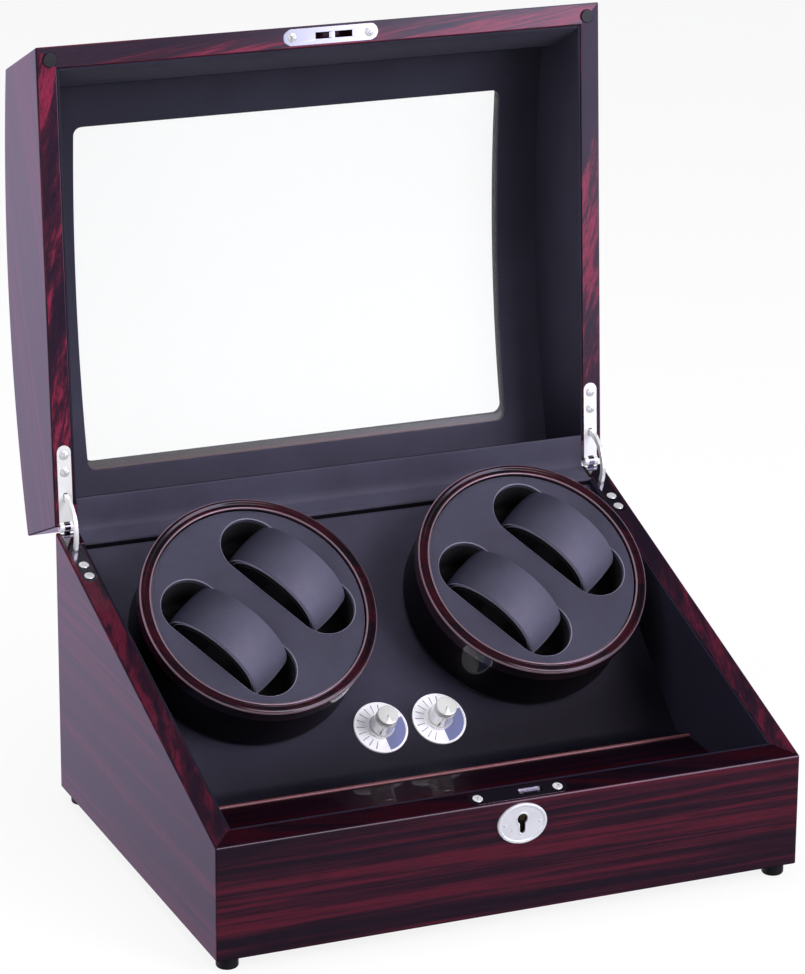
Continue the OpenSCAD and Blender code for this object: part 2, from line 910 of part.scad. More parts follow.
module lid_hinge_leaf(side) {
    x = side * leaf_x;
    difference() {
        union() {
            on_lid_rim(x, 0) linear_extrude(leaf_t) leaf_outline(0);
            hinge_rod(x - leaf_w / 2, x + leaf_w / 2, barrel_r);
        }
        hinge_rod(x - knuckle_w / 2 - 0.1, x + knuckle_w / 2 + 0.1, barrel_r + 0.3);
        hinge_rod(x - leaf_w, x + leaf_w, pin_r + run_gap);
        hinge_arc(x - arm_slot / 2, x + arm_slot / 2, arm_r - arm_room, arm_r + arm_room,
            front_angle - 30, front_angle + 10);
        for (s = leaf_screws) on_lid_rim(x, s) cylinder(h = leaf_t, r1 = head_r, r2 = screw_r);
    }
}

module lid_hinge_leaves() {
    color([0.85, 0.85, 0.9]) opened() for (side = [-1, 1]) lid_hinge_leaf(side);
}

// Curved arms that slide in both leaves and stop the lid
module stay_arms() {
    color([0.9, 0.9, 0.95]) for (side = [-1, 1]) {
        x = side * leaf_x;
        hinge_arc(x - arm_t / 2, x + arm_t / 2, arm_r - arm_h / 2, arm_r + arm_h / 2,
            arm_from, arm_to);
        for (from = [arm_from, arm_to - lug_arc]) hinge_arc(x - lug_t / 2, x + lug_t / 2,
            arm_r - arm_h / 2, arm_r + arm_h / 2, from, from + lug_arc);
    }
}

// Leatherette flap over the back rim
module base_flap() {
    flap_t = 0.5;
    color([0.24, 0.23, 0.29]) on_base_rim(0, 0)
        linear_extrude(flap_t) translate([-lined_x, -wall / cos(rim_slope)])
        square([2 * lined_x, wall / cos(rim_slope)]);
}

// ---- lid ----

// Side outline of the shut lid, bowed on top, cut back by skin from its top
module lid_outline(skin) {
    intersection() {
        polygon([
            [-box_d / 2, lid_rim_front], [box_d / 2, lid_rim_back],
            [box_d / 2, tall], [-box_d / 2, tall]
        ]);
        translate([bow_y, bow_z]) circle(r = bow_r - skin, $fn = 720);
    }
}

module lid_side(side) {
    x = side * leaf_x;
    difference() {
        intersection() {
            along_x(-box_w / 2, box_w / 2) lid_outline(top_t);
            linear_extrude(tall) side_plan(side);
        }
        lid_hinge_recess(side);
        for (s = leaf_screws) on_lid_rim(x, s) translate([0, 0, -1])
            cylinder(h = pilot_depth + leaf_t + 1, r = screw_r);
    }
}

module lid_left_side() {
    color([0.16, 0.03, 0.05]) opened() lid_side(-1);
}

module lid_right_side() {
    color([0.16, 0.03, 0.05]) opened() lid_side(1);
}

module lid_front() {
    color([0.2, 0.04, 0.07]) opened() difference() {
        intersection() {
            along_x(-box_w / 2, box_w / 2) lid_outline(top_t);
            linear_extrude(tall) end_plan(-1);
        }
        on_lid_rim(lock_x, rim_mid) translate([0, 0, -1])
            linear_extrude(plate_t + 1) stadium(strike_len, strike_w);
        translate([lock_x + 1.5 - lid_pocket[0] / 2, bolt_y - lid_pocket[1] / 2, lid_rim_front])
            cube(lid_pocket);
        for (side = [-1, 1]) on_lid_rim(lock_x + side * rim_screw_x, rim_mid)
            translate([0, 0, -1]) cylinder(h = plate_pilot + plate_t + 1, r = screw_r);
    }
}

module lid_back() {
    color([0.16, 0.03, 0.05]) opened() difference() {
        intersection() {
            along_x(-box_w / 2, box_w / 2) lid_outline(top_t);
            linear_extrude(tall) end_plan(1);
        }
        for (side = [-1, 1]) lid_hinge_recess(side);
    }
}

// Shell between two skins of the bowed top
module bowed_layer(x, y_front, y_back, skin, t) {
    intersection() {
        along_x(-x, x) difference() {
            translate([bow_y, bow_z]) circle(r = bow_r - skin, $fn = 720);
            translate([bow_y, bow_z]) circle(r = bow_r - skin - t, $fn = 720);
        }
        translate([-box_w, y_front, 50]) cube([2 * box_w, y_back - y_front, 200]);
    }
}

module window_hole(grow) {
    w = window_w + 2 * grow;
    mid_y = (window_y_back + window_y_front) / 2;
    mid_z = (top_back + top_front) / 2 + mid_y * tan(chord_slope);
    translate([0, mid_y, mid_z]) rotate([chord_slope, 0, 0]) translate([0, 0, -20])
        linear_extrude(50) window_plan(w, window_len + 2 * grow, window_corner);
}

module window_plan(w, len, r) {
    square([w - 2 * r, len], center = true);
    square([w, len - 2 * r], center = true);
    for (x = [-1, 1], y = [-1, 1]) translate([x * (w / 2 - r), y * (len / 2 - r)]) circle(r = r);
}

// Bowed top with the window in it
module lid_top() {
    color([0.16, 0.03, 0.05]) opened() difference() {
        bowed_layer(box_w / 2, -box_d / 2, box_d / 2, 0, top_t);
        window_hole(0);
    }
}

module window_pane() {
    color([0.8, 0.85, 0.9, 0.3]) opened() bowed_layer(window_w / 2 + pane_rest,
        window_y_front - pane_rest, window_y_back + pane_rest, top_t, pane_t);
}

// Covered frame that holds the pane from inside
module window_liner() {
    color([0.2, 0.2, 0.25]) opened() difference() {
        bowed_layer(inner_x, -inner_y, inner_y, top_t, pane_t + liner_t);
        bowed_layer(window_w / 2 + pane_rest, window_y_front - pane_rest,
            window_y_back + pane_rest, top_t, pane_t);
        window_hole(0);
    }
}

// Covered card on the lid's four inner faces
module lid_linings() {
    drop = lining_drop / cos(rim_slope);
    color([0.13, 0.13, 0.17]) opened() intersection() {
        translate([0, 0, drop]) along_x(-inner_x, inner_x) lid_outline(top_t + pane_t + liner_t + drop);
        linear_extrude(tall) difference() {
            square([2 * inner_x, 2 * inner_y], center = true);
            square([2 * lined_x, 2 * lined_y], center = true);
        }
    }
}

module lid_bumpers() {
    pad_h = 1;
    pad_r = 3.35;
    pad_in = 6.5;
    color([0.04, 0.04, 0.04]) opened() for (side = [-1, 1])
        on_lid_rim(side * (box_w / 2 - pad_in), rim_len - pad_in) translate([0, 0, -pad_h])
            cylinder(h = pad_h, r = pad_r);
}

base_left_side();
base_right_side();
base_front();
base_back();
base_bottom();
base_linings();
deck_panel();
floor_panel();
front_ledge();
support_rails();
feet();
inner_screws();
motor_left();
motor_right();
motor_brackets();
dial_plate_left();
dial_plate_right();
rotary_switches();
control_board();
power_inlet();
lock_case();
lock_rim_plate();
escutcheon();
base_hinge_leaves();
hinge_pins();
rim_screws();
base_flap();
lock_bolt();
lock_follower();
stay_arms();
knob_left();
knob_right();
drum_shell_left();
drum_bead_left();
drum_face_left();
foam_core_left();
drum_hub_left();
motor_shaft_left();
drum_shell_right();
drum_bead_right();
drum_face_right();
foam_core_right();
drum_hub_right();
motor_shaft_right();
cushion_left_upper();
cushion_left_lower();
cushion_right_upper();
cushion_right_lower();
lid_left_side();
lid_right_side();
lid_front();
lid_back();
lid_top();
lid_linings();
window_liner();
window_pane();
strike_plate();
lid_hinge_leaves();
lid_screws();
lid_bumpers();
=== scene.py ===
"""Looks of the watch winder box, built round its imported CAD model."""
import bpy
import bmesh
import math
from mathutils import Matrix, Vector


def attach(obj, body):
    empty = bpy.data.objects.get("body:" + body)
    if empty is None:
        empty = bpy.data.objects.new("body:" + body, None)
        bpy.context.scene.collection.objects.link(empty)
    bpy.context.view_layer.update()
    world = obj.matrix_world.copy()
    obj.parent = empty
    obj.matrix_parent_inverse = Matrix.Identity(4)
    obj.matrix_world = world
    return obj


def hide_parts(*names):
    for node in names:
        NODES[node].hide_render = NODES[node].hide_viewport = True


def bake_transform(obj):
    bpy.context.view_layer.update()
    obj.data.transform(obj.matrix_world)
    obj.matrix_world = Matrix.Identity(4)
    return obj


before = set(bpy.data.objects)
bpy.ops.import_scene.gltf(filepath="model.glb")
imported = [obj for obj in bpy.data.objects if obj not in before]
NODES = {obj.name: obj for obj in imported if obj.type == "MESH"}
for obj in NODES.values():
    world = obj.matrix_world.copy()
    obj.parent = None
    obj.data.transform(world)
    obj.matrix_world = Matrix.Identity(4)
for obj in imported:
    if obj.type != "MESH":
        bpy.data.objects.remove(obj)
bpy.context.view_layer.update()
MM = 0.001

# Sizes in millimetres, the same as the CAD source's
BOX_W, BOX_D = 290.0, 219.0
RIM_FRONT, RIM_BACK = 61.2, 138.0
WALL, LINING, FOOT_H = 10.0, 1.2, 6.4
LID_FRONT_H, LID_BACK_H, BULGE, TOP_T = 51.9, 48.1, 13.0, 4.5
PANE_T, LINER_T = 1.6, 1.2
LID_OPEN, GAP = 112.8, 1.4
WINDOW_W, WINDOW_LEN, WINDOW_BACK = 225.0, 172.6, 32.7
DRUM_X, DRUM_ALONG, DECK_TILT = 70.9, 79.7, 42.5
DECK_Y, FLOOR_Z = -4.1, 36.5
RING_R, RING_H = 57.8, 38.2
SLOT_ANGLE, SLOT_LEN, SLOT_W, SLOT_PITCH = -53.5, 75.0, 30.0, 46.8
KNOB_X, KNOB_ALONG, PLATE_R, KNOB_H = 15.2, 24.5, 13.5, 15.0
LOCK_X, KEYHOLE_Z = 3.0, 52.2
HINGE_Y, HINGE_Z = 109.9, 140.0
LEAF_SCREWS, PLATE_SCREW_X = (26.7, 35.2), 19.9
ESCUTCHEON_Z, INLET_Z = 50.0, 26.0
LEAF_X, LEAF_W, LEAF_LEN, LEAF_T = 139.2, 7.0, 40.0, 1.2
BARREL_ROOM, ARM_ROOM, ARM_IN, ARM_OUT = 2.8, 1.6, 12.9, 17.1
DRUM_OUT, DRUM_IN, DRUM_LOW, DRUM_FLOOR, DRUM_TOP = 56.0, 51.0, 2.7, 6.7, 30.2
LEDGE_BACK, LEDGE_Z = -17.0, FLOOR_Z + 2.6
SLOPE = math.degrees(math.atan((RIM_BACK - RIM_FRONT) / BOX_D))
INNER_X, INNER_Y = BOX_W / 2 - WALL, BOX_D / 2 - WALL
LINED_X, LINED_Y = INNER_X - LINING, INNER_Y - LINING


def turn(degrees, axis="X"):
    return Matrix.Rotation(math.radians(degrees), 4, axis)


def move(x, y, z):
    return Matrix.Translation((x * MM, y * MM, z * MM))


def cosd(a):
    return math.cos(math.radians(a))


def sind(a):
    return math.sin(math.radians(a))


def base_rim(x, s):
    """A point on the base's rim, s mm forward of its back edge; local Z stands off the rim."""
    return move(x, BOX_D / 2 - s * cosd(SLOPE), RIM_BACK - s * sind(SLOPE)) @ turn(SLOPE)


def deck(x, along):
    return move(x, DECK_Y + along * cosd(DECK_TILT), FLOOR_Z + along * sind(DECK_TILT)) @ turn(DECK_TILT)


OPENED = move(0, HINGE_Y, HINGE_Z) @ turn(-LID_OPEN) @ move(0, -HINGE_Y, -HINGE_Z)


def lid_rim(x, s):
    return OPENED @ move(0, 0, GAP) @ base_rim(x, s)


# ---- materials

def shader(name, **inputs):
    """A new material with a Principled shader whose sockets are set by name."""
    m = bpy.data.materials.new(name)
    m.use_nodes = True
    nt = m.node_tree
    nt.nodes.clear()
    p = add(nt, "BsdfPrincipled")
    add(nt, "OutputMaterial", {0: p.outputs[0]})
    for key, value in inputs.items():
        socket = p.inputs[key.replace("_", " ")]
        socket.default_value = (*value, 1.0) if isinstance(value, tuple) and len(value) == 3 else value
    return m, nt, p


def add(nt, kind, links=None, **props):
    """A shader node with its properties and links set."""
    n = nt.nodes.new("ShaderNode" + kind)
    for key, value in props.items():
        if hasattr(n, key):
            setattr(n, key, value)
        else:
            n.inputs[key.replace("_", " ")].default_value = value
    for key, source in (links or {}).items():
        nt.links.new(source, n.inputs[key])
    return n


def coords(nt, scale=(1, 1, 1), tilt=0.0, turned=0.0):
    """Object coordinates turned about X, then about Z, then scaled."""
    c = add(nt, "TexCoord").outputs["Object"]
    for axis, angle in ((0, tilt), (2, turned)):
        if angle:
            m = add(nt, "Mapping", {0: c})
            m.inputs["Rotation"].default_value[axis] = math.radians(angle)
            c = m.outputs[0]
    m = add(nt, "Mapping", {0: c})
    m.inputs["Scale"].default_value = scale
    return m.outputs[0]


def ramp(nt, fac, stops):
    """A colour ramp from (place, colour) pairs; a number stands for a grey."""
    r = add(nt, "ValToRGB", {0: fac})
    e = r.color_ramp.elements
    while len(e) < len(stops):
        e.new(0.5)
    for el, (at, col) in zip(e, stops):
        el.position = at
        el.color = (*col, 1) if isinstance(col, tuple) else (col, col, col, 1)
    return r.outputs[0]


def mix(nt, a, b, fac, blend="MIX"):
    n = nt.nodes.new("ShaderNodeMix")
    n.data_type, n.blend_type = "RGBA", blend
    for i, v in ((0, fac), (6, a), (7, b)):
        if isinstance(v, (int, float)):
            n.inputs[i].default_value = v
        elif isinstance(v, tuple):
            n.inputs[i].default_value = (*v, 1)
        else:
            nt.links.new(v, n.inputs[i])
    return n.outputs[2]


def math_node(nt, op, a, b=None, c=None):
    n = nt.nodes.new("ShaderNodeMath")
    n.operation = op
    for i, v in enumerate((a, b, c)):
        if v is None:
            continue
        if isinstance(v, (int, float)):
            n.inputs[i].default_value = v
        else:
            nt.links.new(v, n.inputs[i])
    return n.outputs[0]


def rise(nt, source, first, last):
    """A smooth step from 0 at first to 1 at last."""
    n = add(nt, "MapRange", {0: source}, interpolation_type="SMOOTHSTEP")
    n.inputs[1].default_value, n.inputs[2].default_value = first, last
    return n.outputs[0]


def bump(nt, p, height, distance, strength, socket="Normal"):
    b = add(nt, "Bump", {"Height": height}, Distance=distance, Strength=strength)
    nt.links.new(b.outputs[0], p.inputs[socket])


def paint(nt, p, colour):
    nt.links.new(colour, p.inputs["Base Color"])


def noise(nt, vector, scale, detail=3.0, rough=0.5, distortion=0.0):
    return add(nt, "TexNoise", {"Vector": vector}, Scale=scale, Detail=detail,
               Roughness=rough, Distortion=distortion).outputs[0]


def veneer(name, grain="X", tilt=0.0, turned=0.0, shift=0.0, glow=1.0, dark=1.0, gloss=1.0):
    """Dark striped veneer under gloss lacquer. The stripes run along the grain axis."""
    m, nt, p = shader(name, Roughness=0.42, Coat_Weight=gloss, Coat_Roughness=0.025,
                      Specular_IOR_Level=0.15 * gloss)
    along, across = 1.7, 92.0
    scale = (along, across, across) if grain == "X" else (across, along, across)
    if grain == "Z":
        scale = (across, across, along)
    c = coords(nt, scale, tilt, turned)
    c = add(nt, "VectorMath", {0: c}, operation="ADD").outputs[0]
    c.node.inputs[1].default_value = (shift, shift * 1.7, -shift)
    broad = noise(nt, c, 0.55, 3.0, 0.55, 0.35)
    streak = noise(nt, c, 1.9, 5.0, 0.62, 0.5)
    fine = noise(nt, c, 9.0, 3.0, 0.6, 0.2)
    v = math_node(nt, "MULTIPLY_ADD", broad, 0.55, math_node(nt, "MULTIPLY", streak, 0.45))
    v = math_node(nt, "MULTIPLY_ADD", math_node(nt, "SUBTRACT", fine, 0.5), 0.16, v)
    # glow and dark scale the red streaks and the whole colour: the wood's own tone for some copies, painted
    # light and shade for the rims' copies.
    red = (0.074 * glow, 0.0060 * glow, 0.0155 * glow)
    col = ramp(nt, v, [(0.36, (0.0080, 0.0042, 0.0095)), (0.455, (0.0110, 0.0044, 0.0098)),
                       (0.505, (0.0240, 0.0050, 0.0110)), (0.565, red),
                       (0.62, (0.0200, 0.0048, 0.0108)), (0.70, (0.0070, 0.0036, 0.0082))])
    pores = ramp(nt, noise(nt, c, 26.0, 1.0, 0.5), [(0.30, 0.62), (0.44, 1.0)])
    col = mix(nt, col, (dark, dark, dark * 1.15), 1.0, "MULTIPLY")
    paint(nt, p, mix(nt, col, pores, 1.0, "MULTIPLY"))
    bump(nt, p, noise(nt, coords(nt), 9.0, 1.0), 0.0006, 0.12, "Coat Normal")
    return m


def leather(name, colour, grain=1.0, rough=0.52, sheen=0.25, spec=0.38, painted_shade=None):
    """Fine-grained leatherette: creased pebbles under half a millimetre and faint cloudiness.
    painted_shade is a direction, two places along it in metres, and the colour's share at the first; it
    paints shade that darkens the colour and the sheen towards the first place."""
    m, nt, p = shader(name, Roughness=rough, Sheen_Weight=sheen, Sheen_Roughness=0.45,
                      Specular_IOR_Level=spec)
    p.inputs["Sheen Tint"].default_value = (0.72, 0.72, 1.0, 1)
    c = coords(nt)
    cells = add(nt, "TexVoronoi", {"Vector": c}, feature="DISTANCE_TO_EDGE", Scale=1500.0)
    creases = ramp(nt, cells.outputs["Distance"], [(0.0, 0.0), (0.16, 1.0)])
    cloud = noise(nt, c, 34.0, 4.0, 0.6)
    lo, hi = (tuple(v * k for v in colour) for k in (0.84, 1.14))
    col = ramp(nt, cloud, [(0.3, lo), (0.7, hi)])
    col = mix(nt, col, mix(nt, (0.78, 0.78, 0.8), (1.0, 1.0, 1.0), creases), 1.0, "MULTIPLY")
    # Painted shade: the colour and the sheen darken towards the first place along the direction.
    if painted_shade:
        way, first, last, share = painted_shade
        along = add(nt, "VectorMath", {0: coords(nt)}, operation="DOT_PRODUCT")
        along.inputs[1].default_value = way
        lit = rise(nt, along.outputs["Value"], first, last)
        col = mix(nt, mix(nt, share, (1.0, 1.0, 1.0), lit), col, 1.0, "MULTIPLY")
        nt.links.new(math_node(nt, "MULTIPLY", lit, sheen), p.inputs["Sheen Weight"])
    paint(nt, p, col)
    height = math_node(nt, "MULTIPLY_ADD", noise(nt, c, 620.0, 2.0), 0.5, creases)
    bump(nt, p, height, 0.00006 * grain, 0.55)
    return m


def metal(name, colour, rough, brushed=0.0, shine=1.0):
    """Plated or brushed metal: cloudy roughness and, if brushed, fine lines along X."""
    m, nt, p = shader(name, Base_Color=colour, Metallic=shine, Roughness=rough)
    c = coords(nt)
    cloud = noise(nt, c, 130.0, 4.0, 0.6)
    nt.links.new(ramp(nt, cloud, [(0.3, rough * 0.85), (0.75, rough * 1.3)]), p.inputs["Roughness"])
    paint(nt, p, ramp(nt, noise(nt, c, 60.0), [(0.3, tuple(v * 0.93 for v in colour)), (0.7, colour)]))
    if brushed:
        lines = noise(nt, coords(nt, (0.04, 1, 1)), 900.0, 3.0, 0.7)
        bump(nt, p, lines, 0.00003, brushed)
    return m


def plastic(name, colour, rough=0.45, texture=0.2):
    m, nt, p = shader(name, Base_Color=colour, Roughness=rough)
    c = coords(nt)
    paint(nt, p, ramp(nt, noise(nt, c, 90.0), [(0.3, tuple(v * 0.85 for v in colour)), (0.7, colour)]))
    bump(nt, p, noise(nt, c, 2400.0, 2.0), 0.00004, texture)
    return m


def bare_wood(name):
    m, nt, p = shader(name, Roughness=0.7)
    fibres = noise(nt, coords(nt, (260, 6, 260)), 1.0, 5.0, 0.6, 0.4)
    paint(nt, p, ramp(nt, fibres, [(0.3, (0.30, 0.20, 0.12)), (0.7, (0.50, 0.37, 0.24))]))
    bump(nt, p, fibres, 0.0002, 0.4)
    return m


WOOD_END = veneer("lacquered_veneer_end", "X", shift=3.1)
WOOD_SIDE = veneer("lacquered_veneer_side", "Y", shift=7.7)
DRUM_WOOD = veneer("drum_veneer", "X", turned=35, shift=2.2, glow=0.15, dark=0.10, gloss=0.35)
BASE_LINING = leather("lining_leatherette", (0.0105, 0.0090, 0.0190), grain=0.2, rough=0.6, sheen=0.06,
                      spec=0.12)
# Painted shade: the deck is near black at its foot down in the well and full colour from about 74 mm up; the
# dark reaches higher to the right.
DECK_LEATHER = leather("deck_leatherette", (0.042, 0.040, 0.067), sheen=0.2,
                       painted_shade=((-0.10, 0, 1), 0.038, 0.074, (0.12, 0.12, 0.14)))
# Painted shade: the window liner darkens to half towards the lid's front end.
LID_LEATHER = leather("lid_leatherette", (0.036, 0.034, 0.058), sheen=0.15,
                      painted_shade=((0, 1, 0), -0.10, 0.085, (0.50, 0.50, 0.54)))
DISC_LEATHER = leather("disc_leatherette", (0.040, 0.039, 0.063), sheen=0.2)
# Painted highlight: lighter leatherette on the disc's bevelled edges round the slots and the rim.
DISC_EDGE_HIGHLIGHT = leather("disc_edge_highlight_leatherette", (0.26, 0.25, 0.33), rough=0.35)
# Painted shade: each cushion darkens towards its upper-left end, away from the key light.
CUSHION_LEATHER = leather("cushion_leatherette", (0.085, 0.082, 0.127), grain=0.8, rough=0.44,
                          painted_shade=((1, 0, 0), -0.026, 0.014, (0.26, 0.26, 0.30)))
# Painted highlight: a lighter copy of the cushion leatherette for the cover's cut edges.
CUSHION_EDGE_HIGHLIGHT = leather("cushion_edge_leatherette", (0.20, 0.19, 0.26), grain=0.8, rough=0.40)
# Painted shade: near-black leatherette for the cushions' insides and hollows.
CUSHION_INNER_SHADE = leather("cushion_inner_leatherette", (0.007, 0.007, 0.010), rough=0.6, sheen=0.05)
CHROME = metal("polished_chrome", (0.86, 0.86, 0.89), 0.07)
# Painted reflection: chrome darkened for the base's hinge leaves and the lock plate, which show a dark
# reflection.
PAINTED_DARK_CHROME = metal("chrome_painted_dark", (0.24, 0.24, 0.28), 0.06)
# Painted reflection: chrome made mostly diffuse white for the lid's hinge leaves and the stays, which show a
# bright reflection.
PAINTED_BRIGHT_CHROME = metal("chrome_painted_bright", (0.96, 0.96, 0.98), 0.16, shine=0.32)
BLACKED = metal("blacked_steel", (0.05, 0.05, 0.06), 0.3)
KNOB_CHROME = metal("knob_chrome", (0.97, 0.97, 0.97), 0.12, shine=0.38)
SATIN = metal("satin_plate", (0.84, 0.84, 0.91), 0.30, brushed=0.15, shine=0.45)
STEEL = metal("zinc_steel", (0.62, 0.62, 0.64), 0.3, brushed=0.2)
BRASS = metal("stamped_brass", (0.62, 0.49, 0.26), 0.33, brushed=0.25)
RUBBER = plastic("black_rubber", (0.010, 0.010, 0.012), 0.3, 0.3)
BLACK_PLASTIC = plastic("black_plastic", (0.025, 0.025, 0.03), 0.4)
HUB_PLASTIC = plastic("hub_plastic", (0.66, 0.65, 0.60), 0.35)
FOAM = plastic("black_foam", (0.016, 0.016, 0.019), 0.9, 0.9)
BOARD = plastic("circuit_board", (0.02, 0.14, 0.05), 0.4)
PINE = bare_wood("bare_wood")
PANE = shader("clear_pane", Base_Color=(0.93, 0.96, 0.97), Roughness=0.02, Alpha=0.07)[0]


def dial_face(name):
    """Printed plate: radial ticks over the left half and a blue sector at the lower right."""
    # The faint emission is painted light: it brightens the plate and its print.
    m, nt, p = shader(name, Metallic=0.12, Roughness=0.30, Emission_Color=(0.9, 0.9, 1.0),
                      Emission_Strength=0.12)
    here = add(nt, "TexCoord").outputs["Object"]
    x, y = add(nt, "SeparateXYZ", {0: here}).outputs[:2]

    def calc(operation, a, b=None):
        return math_node(nt, operation, a, b)

    angle = calc("ARCTAN2", y, x)
    radius = calc("SQRT", calc("ADD", calc("MULTIPLY", x, x), calc("MULTIPLY", y, y)))
    step = calc("FRACT", calc("MULTIPLY", angle, 20 / (2 * math.pi)))
    line = calc("LESS_THAN", calc("ABSOLUTE", calc("SUBTRACT", step, 0.5)), 0.085)
    ring = calc("MULTIPLY", calc("GREATER_THAN", radius, 0.0078), calc("LESS_THAN", radius, 0.0121))
    left = calc("MAXIMUM", calc("GREATER_THAN", angle, 1.35), calc("LESS_THAN", angle, -2.0))
    ticks = calc("MULTIPLY", line, calc("MULTIPLY", ring, left))
    sector = calc("MULTIPLY", calc("GREATER_THAN", angle, -1.45), calc("LESS_THAN", angle, 0.35))
    sector = calc("MULTIPLY", sector, calc("LESS_THAN", radius, 0.0124))
    col = mix(nt, (0.94, 0.92, 0.98), (0.16, 0.14, 0.22), calc("MULTIPLY", ticks, 0.85))
    col = mix(nt, col, (0.085, 0.105, 0.30), sector)
    paint(nt, p, col)
    bump(nt, p, noise(nt, here, 900.0), 0.00003, 0.15)
    return m


# Painted shade: the base's end rims are a darkened copy of the veneer.
RIM_WOOD_END = veneer("rim_veneer_end", "X", turned=12, shift=4.4, glow=0.6, dark=0.35, gloss=0.22)
RIM_WOOD_SIDE = veneer("rim_veneer_side", "Y", tilt=-30, turned=16, shift=6.6, glow=1.1)
WOOD_TOP = veneer("top_veneer", "X", shift=8.8)
WOOD_LID_END = veneer("lid_veneer_end", "X", shift=5.2)
WOOD_LID_SIDE = veneer("lid_veneer_side", "Y", shift=9.4)
# Painted light: the lid's rims are brightened copies of the veneer.
RIM_LID_END = veneer("lid_rim_veneer_end", "X", turned=8, shift=2.9, glow=1.3, dark=2.0)
RIM_LID_SIDE = veneer("lid_rim_veneer_side", "Y", tilt=-30, turned=-14, shift=0.6, glow=1.6, dark=1.8,
                      gloss=0.4)
BEAD_WOOD = veneer("bead_veneer", "X", turned=35, shift=5.9, glow=0.9, dark=0.4)
# Painted highlight: light pinkish lines on the bead's outer and inner lips.
BEAD_HIGHLIGHT = metal("bead_edge_lacquer", (0.30, 0.20, 0.25), 0.10, shine=0.45)
LEDGE_EDGE = veneer("ledge_edge_veneer", "X", shift=1.9, glow=2.5, dark=2.6)
# Painted highlight: a pinkish line along the front half of the ledge's nose.
LEDGE_HIGHLIGHT = metal("ledge_edge_highlight", (0.15, 0.055, 0.065), 0.2, shine=0.1)
LEDGE_TOP = veneer("ledge_top_veneer", "X", shift=1.9, glow=0.6, dark=0.35, gloss=0.35)
# Painted shade: the lid's lining darkens towards the hinge end.
LID_LINING = leather("lid_lining_leatherette", (0.0210, 0.0195, 0.0330), grain=0.2, rough=0.6, sheen=0.08,
                     spec=0.12, painted_shade=((0, -1, 0), -0.104, -0.050, (0.60, 0.60, 0.66)))
# Near-black wrap for the window's side edges, also used as painted shadow on the hinge flap.
DARK_WRAP_AND_SHADE = leather("window_edge_wrap_and_shade", (0.006, 0.005, 0.007), rough=0.7, sheen=0.0, spec=0.05)
HOLE_WRAP = leather("window_sill_wrap", (0.020, 0.019, 0.031), rough=0.7, sheen=0.0, spec=0.05)
FLAP_LEATHER = leather("flap_leatherette", (0.048, 0.045, 0.074))
SCREW_CHROME = metal("screw_chrome", (0.90, 0.90, 0.92), 0.16, shine=0.5)
DIAL = dial_face("dial_print")

CAD_LOOKS = {
    STEEL: "inner_screws motor_brackets motor_shaft_left motor_shaft_right hinge_pins motor_left motor_right "
           "lock_case",
    BLACKED: "lock_bolt",
    BRASS: "lock_follower",
    BLACK_PLASTIC: "rotary_switches power_inlet",
    HUB_PLASTIC: "drum_hub_left drum_hub_right",
    BOARD: "control_board",
    PINE: "base_bottom support_rails",
    PANE: "window_pane",
}
for look, names in CAD_LOOKS.items():
    for node in names.split():
        NODES[node].data.materials.clear()
        NODES[node].data.materials.append(look)

# ---- mesh helpers, in millimetres

def fillet(points, closed=True, steps=4):
    """A polyline from (x, y, radius) corners, each rounded by its radius."""
    out, n = [], len(points)
    for i, (x, y, r) in enumerate(points):
        if r == 0 or (not closed and i in (0, n - 1)):
            out.append((x, y))
            continue
        p = Vector((x, y))
        a = (Vector(points[i - 1][:2]) - p).normalized()
        b = (Vector(points[(i + 1) % n][:2]) - p).normalized()
        half = a.angle(b) / 2
        centre = p + (a + b).normalized() * (r / math.sin(half))
        start, end = (p + v * (r / math.tan(half)) - centre for v in (a, b))
        first = math.atan2(start.y, start.x)
        sweep = (math.atan2(end.y, end.x) - first + math.pi) % (2 * math.pi) - math.pi
        for k in range(steps + 1):
            t = first + sweep * k / steps
            out.append((centre.x + r * math.cos(t), centre.y + r * math.sin(t)))
    return out


def circle(r, x=0.0, y=0.0, steps=48):
    return [(x + r * cosd(360 * k / steps), y + r * sind(360 * k / steps)) for k in range(steps)]


def oval(w, h):
    return [(w / 2 * cosd(a), h / 2 * sind(a)) for a in range(0, 360, 5)]


def rectangle(w, h, x=0.0, y=0.0, r=0.0):
    corners = [(x + a * w / 2, y + b * h / 2, r) for a, b in ((-1, -1), (1, -1), (1, 1), (-1, 1))]
    return fillet(corners)


def stadium(length, w, x=0.0, y=0.0, turned=0.0):
    out = []
    for side in (1, -1):
        for a in range(-90 * side, 181 - 90 * side, 9):
            out.append((side * (length - w) / 2 + w / 2 * cosd(a), w / 2 * sind(a)))
    c, s = cosd(turned), sind(turned)
    return [(x + u * c - v * s, y + u * s + v * c) for u, v in out]


def to_mesh(name, bm):
    me = bpy.data.meshes.new(name)
    bm.to_mesh(me)
    bm.free()
    return me


def show(name, data):
    """A new object in the scene."""
    o = bpy.data.objects.new(name, data)
    bpy.context.scene.collection.objects.link(o)
    return o


def slice_at(bm, point, normal):
    """Adds edges where a plane crosses the mesh."""
    bmesh.ops.bisect_plane(bm, geom=bm.verts[:] + bm.edges[:] + bm.faces[:], plane_co=point, plane_no=normal)


def outward(bm):
    """Turns all faces of a closed mesh outward."""
    bmesh.ops.recalc_face_normals(bm, faces=bm.faces)
    if bm.calc_volume(signed=True) < 0:
        bmesh.ops.reverse_faces(bm, faces=bm.faces)
    return bm


